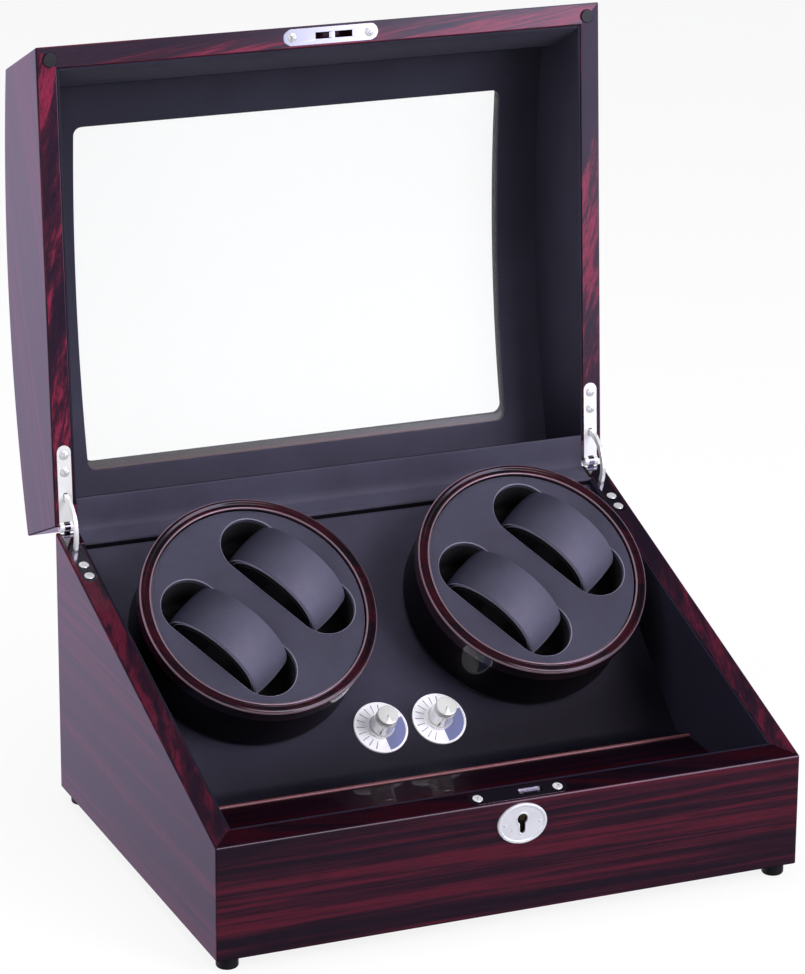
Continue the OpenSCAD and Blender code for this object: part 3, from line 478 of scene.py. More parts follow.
def prism(outline, z0, z1, holes=()):
    """A closed prism of an outline with holes."""
    bm = bmesh.new()
    layers = []
    for z in (z0, z1):
        loops, edges = [], []
        for loop in (outline, *holes):
            vs = [bm.verts.new((x, y, z)) for x, y in loop]
            loops.append(vs)
            edges += [bm.edges.new(pair) for pair in zip(vs, vs[1:] + vs[:1])]
        if holes:
            bmesh.ops.triangle_fill(bm, use_beauty=True, use_dissolve=False, edges=edges)
        else:
            bm.faces.new(loops[0])
        layers.append(loops)
    for low, high in zip(*layers):
        for i in range(len(low)):
            j = (i + 1) % len(low)
            bm.faces.new((low[i], low[j], high[j], high[i]))
    return outward(bm)


ALONG_X = Matrix(((0, 0, 1, 0), (1, 0, 0, 0), (0, 1, 0, 0), (0, 0, 0, 1)))


def along_x(outline, x0, x1):
    """A prism along X of an outline in Y and Z."""
    bm = prism(outline, x0, x1)
    bm.transform(ALONG_X)
    return outward(bm)


def block(x0, x1, y0, y1, z0, z1):
    return prism([(x0, y0), (x1, y0), (x1, y1), (x0, y1)], z0, z1)


def lathe(profile, steps=96, closed=False):
    """A solid of revolution about Z from (radius, z) points."""
    bm = bmesh.new()
    rings = []
    for r, z in profile:
        count = 1 if r < 1e-6 else steps
        rings.append([bm.verts.new((x, y, z)) for x, y in circle(r, steps=count)])
    for a, b in list(zip(rings, rings[1:])) + ([(rings[-1], rings[0])] if closed else []):
        for k in range(steps):
            j = (k + 1) % steps
            if len(a) == 1:
                bm.faces.new((a[0], b[j], b[k]))
            elif len(b) == 1:
                bm.faces.new((a[k], a[j], b[0]))
            else:
                bm.faces.new((a[k], a[j], b[j], b[k]))
    return outward(bm)


def bevel(bm, width, steps=3, keep=lambda e: True, least=30.0):
    """Rounds the edges sharper than least degrees that keep() picks."""
    edges = [e for e in bm.edges if len(e.link_faces) == 2
             and e.calc_face_angle(0) > math.radians(least) and keep(e)]
    bmesh.ops.bevel(bm, geom=edges, offset=width, segments=steps, profile=0.5,
                    affect="EDGES", clamp_overlap=True)
    return bm


def middle(edge):
    return (edge.verts[0].co + edge.verts[1].co) / 2


def join(parts):
    """One mesh of several, which keep apart."""
    out = parts[0]
    for bm in parts[1:]:
        me = to_mesh("part", bm)
        out.from_mesh(me)
        bpy.data.meshes.remove(me)
    return out


def boolean(bm, cutters, operation="DIFFERENCE"):
    """bm with the cutters taken away, or only what it shares with them."""
    made = []
    for part in (bm, *cutters):
        me = bpy.data.meshes.new("cut")
        part.to_mesh(me)
        made.append(show("cut", me))
    for cutter in made[1:]:
        mod = made[0].modifiers.new("cut", "BOOLEAN")
        mod.operation, mod.solver, mod.object = operation, "EXACT", cutter
    me = bpy.data.meshes.new_from_object(made[0].evaluated_get(bpy.context.evaluated_depsgraph_get()))
    out = bmesh.new()
    out.from_mesh(me)
    bpy.data.meshes.remove(me)
    for o in made:
        mesh = o.data
        bpy.data.objects.remove(o)
        bpy.data.meshes.remove(mesh)
    return out


def keep_side(bm, planes):
    """Cuts off what lies on the outer side of each (point, normal) plane and closes the cuts."""
    out = bm.copy()
    for point, normal in planes:
        cut = bmesh.ops.bisect_plane(out, geom=out.verts[:] + out.edges[:] + out.faces[:], dist=1e-4,
                                     plane_co=point, plane_no=normal, clear_outer=True)["geom_cut"]
        edges = [e for e in cut if isinstance(e, bmesh.types.BMEdge)]
        bmesh.ops.triangle_fill(out, use_beauty=True, use_dissolve=True, edges=edges)
    return out


def settled(look, place):
    """The look for a piece whose place is worked into its mesh. The pattern keeps its own frame."""
    name = look.name + "_settled"
    if name in bpy.data.materials:
        return bpy.data.materials[name]
    look = look.copy()
    look.name = name
    nt = look.node_tree
    shift, turned, _ = place.inverted().decompose()
    for source in [n.outputs["Object"] for n in nt.nodes if n.type == "TEX_COORD"]:
        users = [link.to_socket for link in source.links]
        back = add(nt, "Mapping", {0: source})
        back.inputs["Location"].default_value = shift
        back.inputs["Rotation"].default_value = turned.to_euler()
        for socket in users:
            nt.links.new(back.outputs[0], socket)
    return look


def piece(name, bm, body, looks, place=Matrix.Identity(4), stands_for="", crease=32, pick=None,
          flat=None):
    """Makes a scene piece of a mesh in mm. pick gives a face its place in looks.
    flat says which faces are shaded flat: even shading turns large ones with bevelled ends black."""
    bmesh.ops.remove_doubles(bm, verts=bm.verts, dist=1e-3)
    outward(bm)
    looks = looks if isinstance(looks, (list, tuple)) else [looks]
    if pick:
        for f in bm.faces:
            f.material_index = pick(f)
    bm.transform(Matrix.Scale(MM, 4))
    if place == OPENED:
        bm.transform(place)
        looks, place = [settled(look, place) for look in looks], Matrix.Identity(4)
    me = to_mesh(name, bm)
    for look in looks:
        me.materials.append(look)
    me.shade_smooth()
    me.set_sharp_from_angle(angle=math.radians(crease))
    for f in me.polygons:
        if flat and flat(f):
            f.use_smooth = False
    o = show(name, me)
    o.matrix_world = place
    even = o.modifiers.new("even_shading", "WEIGHTED_NORMAL")
    even.weight, even.keep_sharp = 100, True
    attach(o, body)
    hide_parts(*stands_for.split())
    return o


def from_cad(name, node, body, look, width, steps=2):
    """A node's own mesh with its edges rounded."""
    bm = bmesh.new()
    bm.from_mesh(NODES[node].data)
    bm.transform(Matrix.Scale(1 / MM, 4))
    bmesh.ops.remove_doubles(bm, verts=bm.verts, dist=1e-3)
    bmesh.ops.dissolve_limit(bm, angle_limit=math.radians(1), verts=bm.verts, edges=bm.edges)
    bevel(bm, width, steps)
    piece(name, bm, body, look, stands_for=node)


# ---- the boxes of the base and the lid

EDGE = 0.8            # radius of the lacquered outer edges
RIM_EDGE = 0.5        # radius of the rims' inner edges
FAR = 400.0           # further than anything reaches


def rim_z(y, lift=0.0):
    return RIM_FRONT + lift + (y + BOX_D / 2) * math.tan(math.radians(SLOPE))


def case(outer, hollow, on_rim):
    """A box from its outer and inner side outlines, with its edges rounded."""
    body = bevel(along_x(outer, -BOX_W / 2, BOX_W / 2), EDGE)
    bm = boolean(body, [along_x(hollow, -INNER_X, INNER_X)])
    bmesh.ops.remove_doubles(bm, verts=bm.verts, dist=1e-3)

    def inner_edge(e):
        return all(on_rim(v.co) and abs(v.co.x) < INNER_X + 0.01 and abs(v.co.y) < INNER_Y + 0.01
                   for v in e.verts)
    return bevel(bm, RIM_EDGE, keep=inner_edge)


def placed(bm, matrix):
    """A mesh in mm moved by a matrix in metres."""
    bm.transform(Matrix.Scale(1 / MM, 4) @ matrix @ Matrix.Scale(MM, 4))
    return bm


def hinge_cutters(rim, side, first, last):
    """The leaf's bed, the barrel's room and the stay arm's pocket at one end of a rim."""
    x = side * LEAF_X
    outline = ([(LEAF_W / 2, 2.0), (-LEAF_W / 2, 2.0)] +
               [(LEAF_W / 2 * cosd(a), LEAF_W / 2 - LEAF_LEN + LEAF_W / 2 * sind(a))
                for a in range(180, 361, 15)])
    bed = placed(prism(outline, -LEAF_T, LEAF_T), rim(x, 0))
    barrel = along_x(circle(BARREL_ROOM, HINGE_Y, HINGE_Z, 24), x - LEAF_W / 2 - 0.3, x + LEAF_W / 2 + 0.3)
    arc = [first + (last - first) * k / 12 for k in range(13)]
    sector = [(HINGE_Y + r * cosd(a), HINGE_Z + r * sind(a))
              for r, angles in ((ARM_OUT, arc), (ARM_IN, reversed(arc))) for a in angles]
    return [bed, barrel, along_x(sector, x - ARM_ROOM, x + ARM_ROOM)]


# The planes that mitre a board at both ends, and one that keeps its own side
MITRES = {}
for where, x, y in (("front", 0, -1), ("back", 0, 1), ("left_side", -1, 0), ("right_side", 1, 0)):
    corners = [(x or end, y or end) for end in (-1, 1)]
    MITRES[where] = [((u * BOX_W / 2, v * BOX_D / 2, 0), (-u if x else u, -v if y else v, 0))
                     for u, v in corners] + [((0, 0, 0), (-x, -y, 0))]
RIM_NORMAL = Vector((0, -sind(SLOPE), cosd(SLOPE)))


def on_rim_face(f):
    return 1 if abs(f.normal.dot(RIM_NORMAL)) > 0.995 else 0


def make_boards(bm, body, place, end, side, rim_end, rim_side):
    for where, planes in MITRES.items():
        node = body + "_" + where
        looks = [side, rim_side] if where.endswith("side") else [end, rim_end]
        piece(node + "_board", keep_side(bm, planes), body, looks, place, node,
              pick=on_rim_face)
    bm.free()


RIM_MID = BOX_D / cosd(SLOPE) - WALL / cosd(SLOPE) / 2
STRIKE_LEN, STRIKE_W, PLATE_T = 48.8, 8.1, 1.2


def keyhole(x=0.0, y=0.0, grow=0.0):
    """Outline of the keyhole round its round part's centre."""
    r, w, drop = 2.55 + grow, 1.35 + grow, 5.6
    throat = math.degrees(math.asin(w / r))
    arc = [-90 + throat + k * (360 - 2 * throat) / 28 for k in range(29)]
    top = [(x + r * cosd(a), y + r * sind(a)) for a in arc]
    foot = [(x + w * cosd(a), y - drop + w * sind(a)) for a in range(180, 361, 20)]
    return top + foot


def make_base_box():
    outer = [(-BOX_D / 2, FOOT_H), (BOX_D / 2, FOOT_H), (BOX_D / 2, RIM_BACK), (-BOX_D / 2, RIM_FRONT)]
    hollow = [(-INNER_Y, -5), (INNER_Y, -5), (INNER_Y, 160), (-INNER_Y, 160)]
    bm = case(outer, hollow, lambda p: abs(p.z - rim_z(p.y)) < 0.02)
    cutters = []
    for side in (-1, 1):
        cutters += hinge_cutters(base_rim, side, 180 + SLOPE, 180 + SLOPE + 63.5)
    cutters.append(placed(prism(stadium(STRIKE_LEN, STRIKE_W), -PLATE_T, PLATE_T),
                          base_rim(LOCK_X, RIM_MID)))
    under = PLATE_T / cosd(SLOPE)
    back_y, front_y = -101, -107          # the pocket of the lock case
    cutters.append(along_x([(front_y, 30), (back_y, 30), (back_y, rim_z(back_y) - under),
                            (front_y, rim_z(front_y) - under)], LOCK_X - 17, LOCK_X + 17))
    cutters.append(placed(prism(keyhole(), -4, 4), move(LOCK_X, -BOX_D / 2, KEYHOLE_Z) @ turn(90)))
    for r, depth in ((7.0, 1.2), (5.5, 18.0)):
        cutters.append(placed(prism(circle(r), -1, depth), move(0, BOX_D / 2, INLET_Z) @ turn(90)))
    bm = boolean(bm, cutters)
    make_boards(bm, "base", Matrix.Identity(4), WOOD_END, WOOD_SIDE, RIM_WOOD_END, RIM_WOOD_SIDE)


TOP_BACK = RIM_BACK + GAP + LID_BACK_H
TOP_FRONT = RIM_FRONT + GAP + LID_FRONT_H
CHORD = math.degrees(math.atan((TOP_BACK - TOP_FRONT) / BOX_D))
CHORD_LEN = BOX_D / cosd(CHORD)
BOW_R = (CHORD_LEN ** 2 / 4 + BULGE ** 2) / (2 * BULGE)
BOW_Y = sind(CHORD) * (BOW_R - BULGE)
BOW_Z = (TOP_BACK + TOP_FRONT) / 2 - cosd(CHORD) * (BOW_R - BULGE)


def bow(y0, y1, skin, steps=36):
    """Points on the bowed top between two places in Y, skin mm below its surface."""
    r = BOW_R - skin
    a0, a1 = (math.asin((y - BOW_Y) / r) for y in (y0, y1))
    arc = [a0 + (a1 - a0) * k / steps for k in range(steps + 1)]
    return [(BOW_Y + r * math.sin(a), BOW_Z + r * math.cos(a)) for a in arc]


def window_frame():
    mid_y = BOX_D / 2 - (WINDOW_BACK + WINDOW_LEN / 2) * cosd(CHORD)
    mid_z = (TOP_BACK + TOP_FRONT) / 2 + mid_y * math.tan(math.radians(CHORD))
    return move(0, mid_y, mid_z) @ turn(CHORD)


def make_lid_box():
    outer = ([(-BOX_D / 2, rim_z(-BOX_D / 2, GAP)), (BOX_D / 2, rim_z(BOX_D / 2, GAP))] +
             bow(BOX_D / 2, -BOX_D / 2, 0))
    hollow = [(-INNER_Y, 40), (INNER_Y, 40)] + bow(INNER_Y, -INNER_Y, TOP_T)
    bm = case(outer, hollow, lambda p: abs(p.z - rim_z(p.y, GAP)) < 0.02)
    hole = placed(prism(rectangle(WINDOW_W, WINDOW_LEN, r=4), -20, 30), window_frame())
    bm = boolean(bm, [hole])
    back = window_frame().inverted()

    def window_edge(e):
        p = back @ (middle(e) * MM) / MM
        near = max(abs(abs(p.x) - WINDOW_W / 2) < 0.3 and abs(p.y) < WINDOW_LEN / 2,
                   abs(abs(p.y) - WINDOW_LEN / 2) < 0.3 and abs(p.x) < WINDOW_W / 2)
        outer_side = (middle(e) - Vector((middle(e).x, BOW_Y, BOW_Z))).length > BOW_R - 1
        return near and outer_side
    bevel(bm, 0.6, 2, keep=window_edge, least=50)
    cutters = []
    for side in (-1, 1):
        cutters += hinge_cutters(lambda x, s: move(0, 0, GAP) @ base_rim(x, s), side, 180 + SLOPE - 84,
                                 180 + SLOPE + 5)
    at = move(0, 0, GAP) @ base_rim(LOCK_X, RIM_MID)
    cutters.append(placed(prism(stadium(STRIKE_LEN, STRIKE_W), -PLATE_T, PLATE_T), at))
    bolt_room = block(LOCK_X - 9, LOCK_X + 12, -106.6, -102.6, 60, 72.6)
    cutters.append(bolt_room)
    bm = boolean(bm, cutters)
    layer = along_x(bow(-FAR / 2, FAR / 2, TOP_T) + [(FAR / 2, FAR), (-FAR / 2, FAR)], -BOX_W, BOX_W)
    top = boolean(bm, [layer], "INTERSECT")
    walls = boolean(bm, [layer])
    bm.free()

    def facing(f):
        p = back @ (f.calc_center_median() * MM) / MM
        if abs(p.x) < WINDOW_W / 2 + 0.5 and abs(p.y) < WINDOW_LEN / 2 + 0.5:
            return 3 if abs(f.normal.x) > 0.7 else 4
        if abs(f.normal.x) > 0.8:
            return 1
        return 2 if abs(f.normal.y) > 0.75 else 0
    piece("lid_top_panel", top, "lid", [WOOD_TOP, WOOD_LID_SIDE, WOOD_LID_END, DARK_WRAP_AND_SHADE, HOLE_WRAP],
          OPENED, "lid_top", pick=facing)
    make_boards(walls, "lid", OPENED, WOOD_LID_END, WOOD_LID_SIDE, RIM_LID_END, RIM_LID_SIDE)


# ---- linings, deck and ledge

MIRRORED = Matrix.Scale(-1, 4, (1, 0, 0))


def sideways(f):
    return abs(f.normal.x) > 0.9


def make_linings():
    low, drop = FOOT_H + 5, 0.3
    card = bevel(along_x([(-INNER_Y, low), (INNER_Y, low), (INNER_Y, rim_z(INNER_Y) - drop),
                          (-INNER_Y, rim_z(-INNER_Y) - drop)], LINED_X, INNER_X), 0.45)
    parts = [card, placed(card.copy(), MIRRORED),
             bevel(along_x([(-INNER_Y, low), (-LINED_Y, low), (-LINED_Y, rim_z(-LINED_Y) - drop),
                            (-INNER_Y, rim_z(-INNER_Y) - drop)], -LINED_X, LINED_X), 0.45)]
    piece("base_lining_cards", join(parts), "base", BASE_LINING, stands_for="base_linings",
          flat=sideways)
    skin = TOP_T + PANE_T + LINER_T + 0.02
    bottom = [(-INNER_Y, rim_z(-INNER_Y, GAP) + drop), (INNER_Y, rim_z(INNER_Y, GAP) + drop)]
    card = bevel(along_x(bottom + bow(INNER_Y, -INNER_Y, skin, 16), LINED_X, INNER_X), 0.45)
    parts = [card, placed(card.copy(), MIRRORED)]
    for end in (-1, 1):
        y0, y1 = sorted((end * INNER_Y, end * LINED_Y))
        top = bow(y0, y1, skin, 1)
        crown = []
        if end < 0:
            low_z, high_z = rim_z(y1, GAP) + drop, top[1][1]
            crown = [(y1 + 2.2 * math.sin(math.pi * k / 12) ** 0.7, low_z + (high_z - low_z) * k / 12)
                     for k in range(1, 12)]
        parts.append(bevel(along_x([(y0, rim_z(y0, GAP) + drop), (y1, rim_z(y1, GAP) + drop), *crown,
                                    top[1], top[0]], -LINED_X, LINED_X), 0.45, least=60))
    piece("lid_lining_cards", join(parts), "lid", LID_LINING, OPENED, "lid_linings",
          flat=sideways)


def make_window_liner():
    """A covered frame cut flat, then bent to the bow."""
    r_out = BOW_R - TOP_T
    first, last = (math.asin((y - BOW_Y) / r_out) for y in (-INNER_Y + 0.1, INNER_Y - 0.1))
    mid = math.asin((BOX_D / 2 - (WINDOW_BACK + WINDOW_LEN / 2) * cosd(CHORD) - BOW_Y) / BOW_R)
    length = 2 * r_out * math.asin(WINDOW_LEN / 2 / BOW_R)
    x = INNER_X - 0.1
    outer = [(-x, first * r_out), (x, first * r_out), (x, last * r_out), (-x, last * r_out)]
    window = rectangle(WINDOW_W, length, 0, mid * r_out, 4)
    bm = prism(outer, PANE_T, PANE_T + LINER_T, [list(reversed(window))])

    def window_edge(e):
        at = middle(e)
        return (abs(at.x) < WINDOW_W / 2 + 1 and abs(at.y - mid * r_out) < length / 2 + 1
                and at.z > PANE_T + LINER_T - 0.1)
    bevel(bm, 0.6, 3, keep=window_edge, least=60)
    s = first * r_out + 5
    while s < last * r_out:
        slice_at(bm, (0, s, 0), (0, 1, 0))
        s += 6
    for v in bm.verts:
        a, r = v.co.y / r_out, r_out - v.co.z
        v.co.y, v.co.z = BOW_Y + r * math.sin(a), BOW_Z + r * math.cos(a)
    piece("window_frame_liner", bm, "lid", LID_LEATHER, OPENED, "window_liner", crease=40)


def make_deck():
    back_z = FLOOR_Z + (INNER_Y - DECK_Y) * math.tan(math.radians(DECK_TILT))
    face = fillet([(INNER_Y, back_z, 0), (DECK_Y, FLOOR_Z, 11), (-LINED_Y, FLOOR_Z, 0)], closed=False,
                  steps=10)
    under = [(-LINED_Y, FLOOR_Z - 3), (-0.6, FLOOR_Z - 3), (INNER_Y, back_z - 5.4)]
    bm = along_x(face + under, -LINED_X, LINED_X)
    holes = []
    hub_hole, stem_hole = 9, 3.6
    for side in (-1, 1):
        for r, x, along in ((hub_hole, DRUM_X, DRUM_ALONG), (stem_hole, KNOB_X, KNOB_ALONG)):
            holes.append(placed(prism(circle(r), -12, 12), deck(side * x, along)))
    piece("deck_cover", boolean(bm, holes), "base", DECK_LEATHER,
          stands_for="deck_panel floor_panel", crease=20)
    x = LINED_X - 0.1
    slab = prism([(-x, -LINED_Y), (x, -LINED_Y), (x, LEDGE_BACK), (-x, LEDGE_BACK)], FLOOR_Z, LEDGE_Z)
    bevel(slab, 1.25, 5, keep=lambda e: (abs(middle(e).y + LINED_Y) > 1 and
                                         abs((e.verts[0].co - e.verts[1].co).z) < 0.1))
    nose = along_x([(LEDGE_BACK - 1.4 + 1.4 * cosd(a), LEDGE_Z + 1.2 * sind(a)) for a in range(0, 181, 15)],
                   -LINED_X + 0.2, LINED_X - 0.2)

    def look(f):
        if f.normal.z > 0.98:
            return 1
        # The nose's front half takes the painted highlight.
        return 2 if f.calc_center_median().z > LEDGE_Z + 0.01 and f.normal.y < 0.35 else 0
    piece("ledge_board", join([slab, nose]), "base", [LEDGE_EDGE, LEDGE_TOP, LEDGE_HIGHLIGHT],
          stands_for="front_ledge", pick=look)


def make_flap():
    """Leatherette strip over both back rims, which bends at the hinge line."""
    t = 0.5
    foot_y = INNER_Y - 0.1
    base_run = ([(foot_y, z) for z in (131.4, 132.4, 133.4, 134.1)] +
                [(BOX_D / 2 - s * cosd(SLOPE), RIM_BACK - s * sind(SLOPE)) for s in (10.2, 8, 6, 4, 3, 2)])
    start = Vector(base_run[-1])
    lid_dir = (OPENED.to_3x3() @ Vector((0, -cosd(SLOPE), -sind(SLOPE)))).yz
    foot = (lid_rim(0, 0).to_translation() / MM).yz
    end = foot + lid_dir * 2.6
    corner = Vector((109.3, 139.2))
    bend = [tuple(start * (1 - u) ** 2 + corner * 2 * u * (1 - u) + end * u * u)
            for u in (0.15, 0.3, 0.45, 0.6, 0.75, 0.9)]
    lid_run = [tuple(foot + lid_dir * s) for s in (2.6, 4, 6, 8, 10, 12, 13.6)]
    line = [Vector(p) for p in base_run + bend + lid_run]
    over = []
    for i, p in enumerate(line):
        d = (line[min(i + 1, len(line) - 1)] - line[max(i - 1, 0)]).normalized()
        over.append(p + Vector((-d.y, d.x)) * t)
    outline = [tuple(p) for p in line] + [tuple(p) for p in reversed(over)]
    bm = along_x(outline, -LINED_X, LINED_X)
    bevel(bm, 0.2, 2, least=70)
    for x in range(-120, 121, 20):
        slice_at(bm, (x, 0, 0), (1, 0, 0))
    outward(bm)
    bm.transform(Matrix.Scale(MM, 4))
    me = to_mesh("hinge_flap", bm)
    me.materials.append(FLAP_LEATHER)
    me.materials.append(DARK_WRAP_AND_SHADE)
    last = over[-1] * MM
    # The part down the base's back wall and the upper end take the near-black wrap: painted shadow in the
    # gaps below and above the flap.
    for f in me.polygons:
        if f.center.z < 0.1338 or (f.center.yz - last).length < 0.0009:
            f.material_index = 1
    me.shade_smooth()
    me.set_sharp_from_angle(angle=math.radians(50))
    o = show("hinge_flap", me)
    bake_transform(o)
    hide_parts("base_flap")


# ---- turntables and cushions

FACE_TOP = RING_H - 1.7
CUSHION_LEN, CUSHION_H, CUSHION_W, CUSHION_SHIFT = 52.8, 33.0, 25.5, 1.4


def slots():
    c, s = cosd(SLOT_ANGLE), sind(SLOT_ANGLE)
    return [stadium(SLOT_LEN, SLOT_W, -s * row * SLOT_PITCH / 2, c * row * SLOT_PITCH / 2, SLOT_ANGLE)
            for row in (-1, 1)]


def band(low, high, width, crown, edge):
    """A bent band between two depths inside the cushion's ellipse, open at its underside."""
    gap = 16.0
    open_half = math.degrees(math.asin(gap / CUSHION_LEN))
    first, last = -90 + open_half, 270 - open_half
    w2 = width / 2
    across = fillet([(-w2, low, edge), (w2, low, edge), (w2, high, edge), (-w2, high, edge)], steps=3)
    section = []
    for i, (v, d) in enumerate(across):
        u, e = across[(i + 1) % len(across)]
        count = max(1, round(abs(u - v) / 3))
        for k in range(count):
            f = k / count
            w, depth = v + (u - v) * f, d + (e - d) * f
            if depth > (low + high) / 2:
                depth += crown * (1 - (2 * w / width) ** 2)
            section.append((w, depth))
    bm = bmesh.new()
    rings = []
    steps = 44
    for k in range(steps + 1):
        t = first + (last - first) * k / steps
        at = Vector((CUSHION_LEN / 2 * cosd(t), CUSHION_H / 2 * sind(t)))
        normal = Vector((cosd(t) / CUSHION_LEN, sind(t) / CUSHION_H)).normalized()
        rings.append([bm.verts.new((at.x + normal.x * d, v, at.y + normal.y * d)) for v, d in section])
    for a, b in zip(rings, rings[1:]):
        for i in range(len(section)):
            j = (i + 1) % len(section)
            bm.faces.new((a[i], a[j], b[j], b[i]))
    bm.faces.new(rings[0])
    bm.faces.new(list(reversed(rings[-1])))
    return bm


def make_cushion(side_name, side, row_name, row):
    body = "cushion_%s_%s" % (side_name, row_name)
    skin = band(-1.5, 0.0, CUSHION_W - 0.2, 0.9, 0.65)
    core = band(-4.1, -1.7, CUSHION_W - 3.4, 0.0, 0.5)
    inner = band(-5.0, -4.2, CUSHION_W - 1.2, 0.0, 0.35)
    middle_layer = band(-2.9, -2.1, CUSHION_W - 1.4, 0.0, 0.35)
    place = (deck(side * DRUM_X, DRUM_ALONG) @ turn(SLOT_ANGLE, "Z")
             @ move(0, row * SLOT_PITCH / 2 + CUSHION_SHIFT, FACE_TOP + 9 - CUSHION_H / 2))

    def layer(f):
        """0 the outer cover, 1 the cover's cut edges, lighter as a painted highlight, 2 what lies inside,
        near black as painted shade.
        """
        p = f.calc_center_median()
        around = math.hypot(p.x / (CUSHION_LEN / 2), p.z / (CUSHION_H / 2))
        depth = math.hypot(p.x, p.z) * (1 - 1 / around)
        if abs(f.normal.y) > 0.6:
            if depth > -1.9:
                return 1 if abs(p.y) > CUSHION_W / 2 - 0.3 else 0
            return 1 if -3.2 < depth and abs(p.y) > CUSHION_W / 2 - 1.0 else 2
        return 0 if depth > -0.75 else 2
    o = piece(body + "_pad", join([skin, core, inner, middle_layer]), body,
              [CUSHION_LEATHER, CUSHION_EDGE_HIGHLIGHT, CUSHION_INNER_SHADE], place, body, crease=50,
              pick=layer)


def make_turntable(side_name, side):
    body = "turntable_" + side_name
    place = deck(side * DRUM_X, DRUM_ALONG)
    shell = lathe(fillet([(DRUM_OUT, DRUM_LOW, 1.3), (DRUM_OUT, DRUM_TOP, 0), (DRUM_IN, DRUM_TOP, 0),
                          (DRUM_IN, DRUM_FLOOR, 0), (7, DRUM_FLOOR, 0), (7, DRUM_LOW, 0.3)]),
                  128, closed=True)
    piece("drum_wall_" + side_name, shell, body, DRUM_WOOD, place,
          "drum_shell_" + side_name)
    bead = lathe(fillet([(55.6, DRUM_TOP, 0), (RING_R, DRUM_TOP, 0.8), (RING_R, RING_H, 1.7),
                         (55.9, RING_H, 0.9), (55.0, RING_H - 0.7, 0.7), (53.4, RING_H - 0.7, 0.4),
                         (53.1, RING_H - 0.1, 0.4), (52.3, RING_H - 0.1, 0.35), (52.2, DRUM_TOP, 0)],
                        steps=5), 160, closed=True)

    # Faces of the bead's outer and inner lips, which take the painted highlight.
    def lip(f):
        p = f.calc_center_median()
        r = math.hypot(p.x, p.y)
        outer_lip = RING_R - 0.75 < r < RING_R - 0.15 and p.z > RING_H - 1.2
        return 1 if outer_lip or (52.25 < r < 53.15 and p.z > RING_H - 0.5) else 0
    piece("drum_rim_" + side_name, bead, body, [BEAD_WOOD, BEAD_HIGHLIGHT], place,
          "drum_bead_" + side_name, crease=45, pick=lip)
    disc = prism(circle(51.9, steps=128), FACE_TOP - 3, FACE_TOP, slots())
    bevel(disc, 0.7, 3, keep=lambda e: middle(e).z > FACE_TOP - 0.01, least=60)
    # The disc's bevelled edges take the lighter leatherette as a painted highlight.
    piece("drum_disc_" + side_name, disc, body, [DISC_LEATHER, DISC_EDGE_HIGHLIGHT], place,
          "drum_face_" + side_name, crease=40, pick=lambda f: 1 if 0.1 < f.normal.z < 0.95 else 0)
    pockets = [bevel(prism(outline, 12, 60), 3, 4, keep=lambda e: middle(e).z < 13, least=60)
               for outline in slots()]
    r, hub_room = DRUM_IN - 0.4, circle(16)
    core = boolean(lathe([(0, DRUM_FLOOR), (r, DRUM_FLOOR), (r, FACE_TOP - 3), (0, FACE_TOP - 3)]), pockets)
    core = boolean(core, [prism(hub_room, 6, 9.2)])
    piece("drum_insert_" + side_name, core, body, FOAM, place, "foam_core_" + side_name, crease=40)


# ---- controls, lock, hinges and small parts

def make_controls():
    knob_profile = fillet([(0, -9, 0), (2.5, -9, 0), (2.5, 1.3, 0), (6.3, 1.3, 0.3), (6.3, 3.0, 0.35),
                           (5.75, 3.4, 0.3), (5.35, 10.9, 0.3), (4.75, 11.4, 0.2), (4.75, 12.1, 0.2),
                           (5.25, 12.5, 0.3), (5.15, 14.3, 0.7), (0, KNOB_H, 0)], closed=False)
    for side_name, side in (("left", -1), ("right", 1)):
        place = deck(side * KNOB_X, KNOB_ALONG)
        plate = lathe(fillet([(3.5, 0, 0), (PLATE_R, 0, 0.2), (PLATE_R, 1.1, 0.3), (12.75, 1.1, 0.25),
                              (12.5, 0.8, 0.1), (3.5, 0.8, 0)]), 96, closed=True)
        piece("dial_" + side_name, plate, "base", DIAL, place, "dial_plate_" + side_name)
        groove = block(-0.45, 0.45, 4.7, 7.0, 3.6, 11.2)
        top_groove = block(-0.35, 0.35, 0.6, 7.0, 14.2, 16)
        for cutter in (groove, top_groove):
            cutter.transform(turn(150, "Z"))
        knob = boolean(lathe(knob_profile, 64), [groove, top_groove])
        piece("control_" + side_name, knob, "knob_" + side_name, KNOB_CHROME, place,
              "knob_" + side_name, crease=28)


def screw(shank):
    """Domed screw with a cross recess; its head's edge is at local Z = 0."""
    profile = ([(0, -1.2 - shank), (1.3, -1.2 - shank), (1.3, -1.2), (2.45, 0)] +
               [(2.45 * cosd(a), 0.55 * sind(a)) for a in (20, 40, 60, 75)] + [(0, 0.55)])
    cross = [block(-1.3, 1.3, -0.27, 0.27, 0.1, 2), block(-0.27, 0.27, -1.3, 1.3, 0.1, 2)]
    return boolean(lathe(profile, 32), cross)


def make_screws():
    for name, body, rim, turned in (("rim_screws", "base", base_rim, 0), ("lid_screws", "lid", lid_rim, 180)):
        parts = []
        for side in (-1, 1):
            for k, s in enumerate(LEAF_SCREWS):
                at = rim(side * LEAF_X, s) @ turn(turned) @ turn(25 + 40 * k * side, "Z")
                parts.append(placed(screw(9), at))
            at = rim(LOCK_X + side * PLATE_SCREW_X, RIM_MID) @ turn(turned) @ turn(35 * side, "Z")
            parts.append(placed(screw(6.5), at))
        piece(name + "_heads", join(parts), body, SCREW_CHROME, stands_for=name)


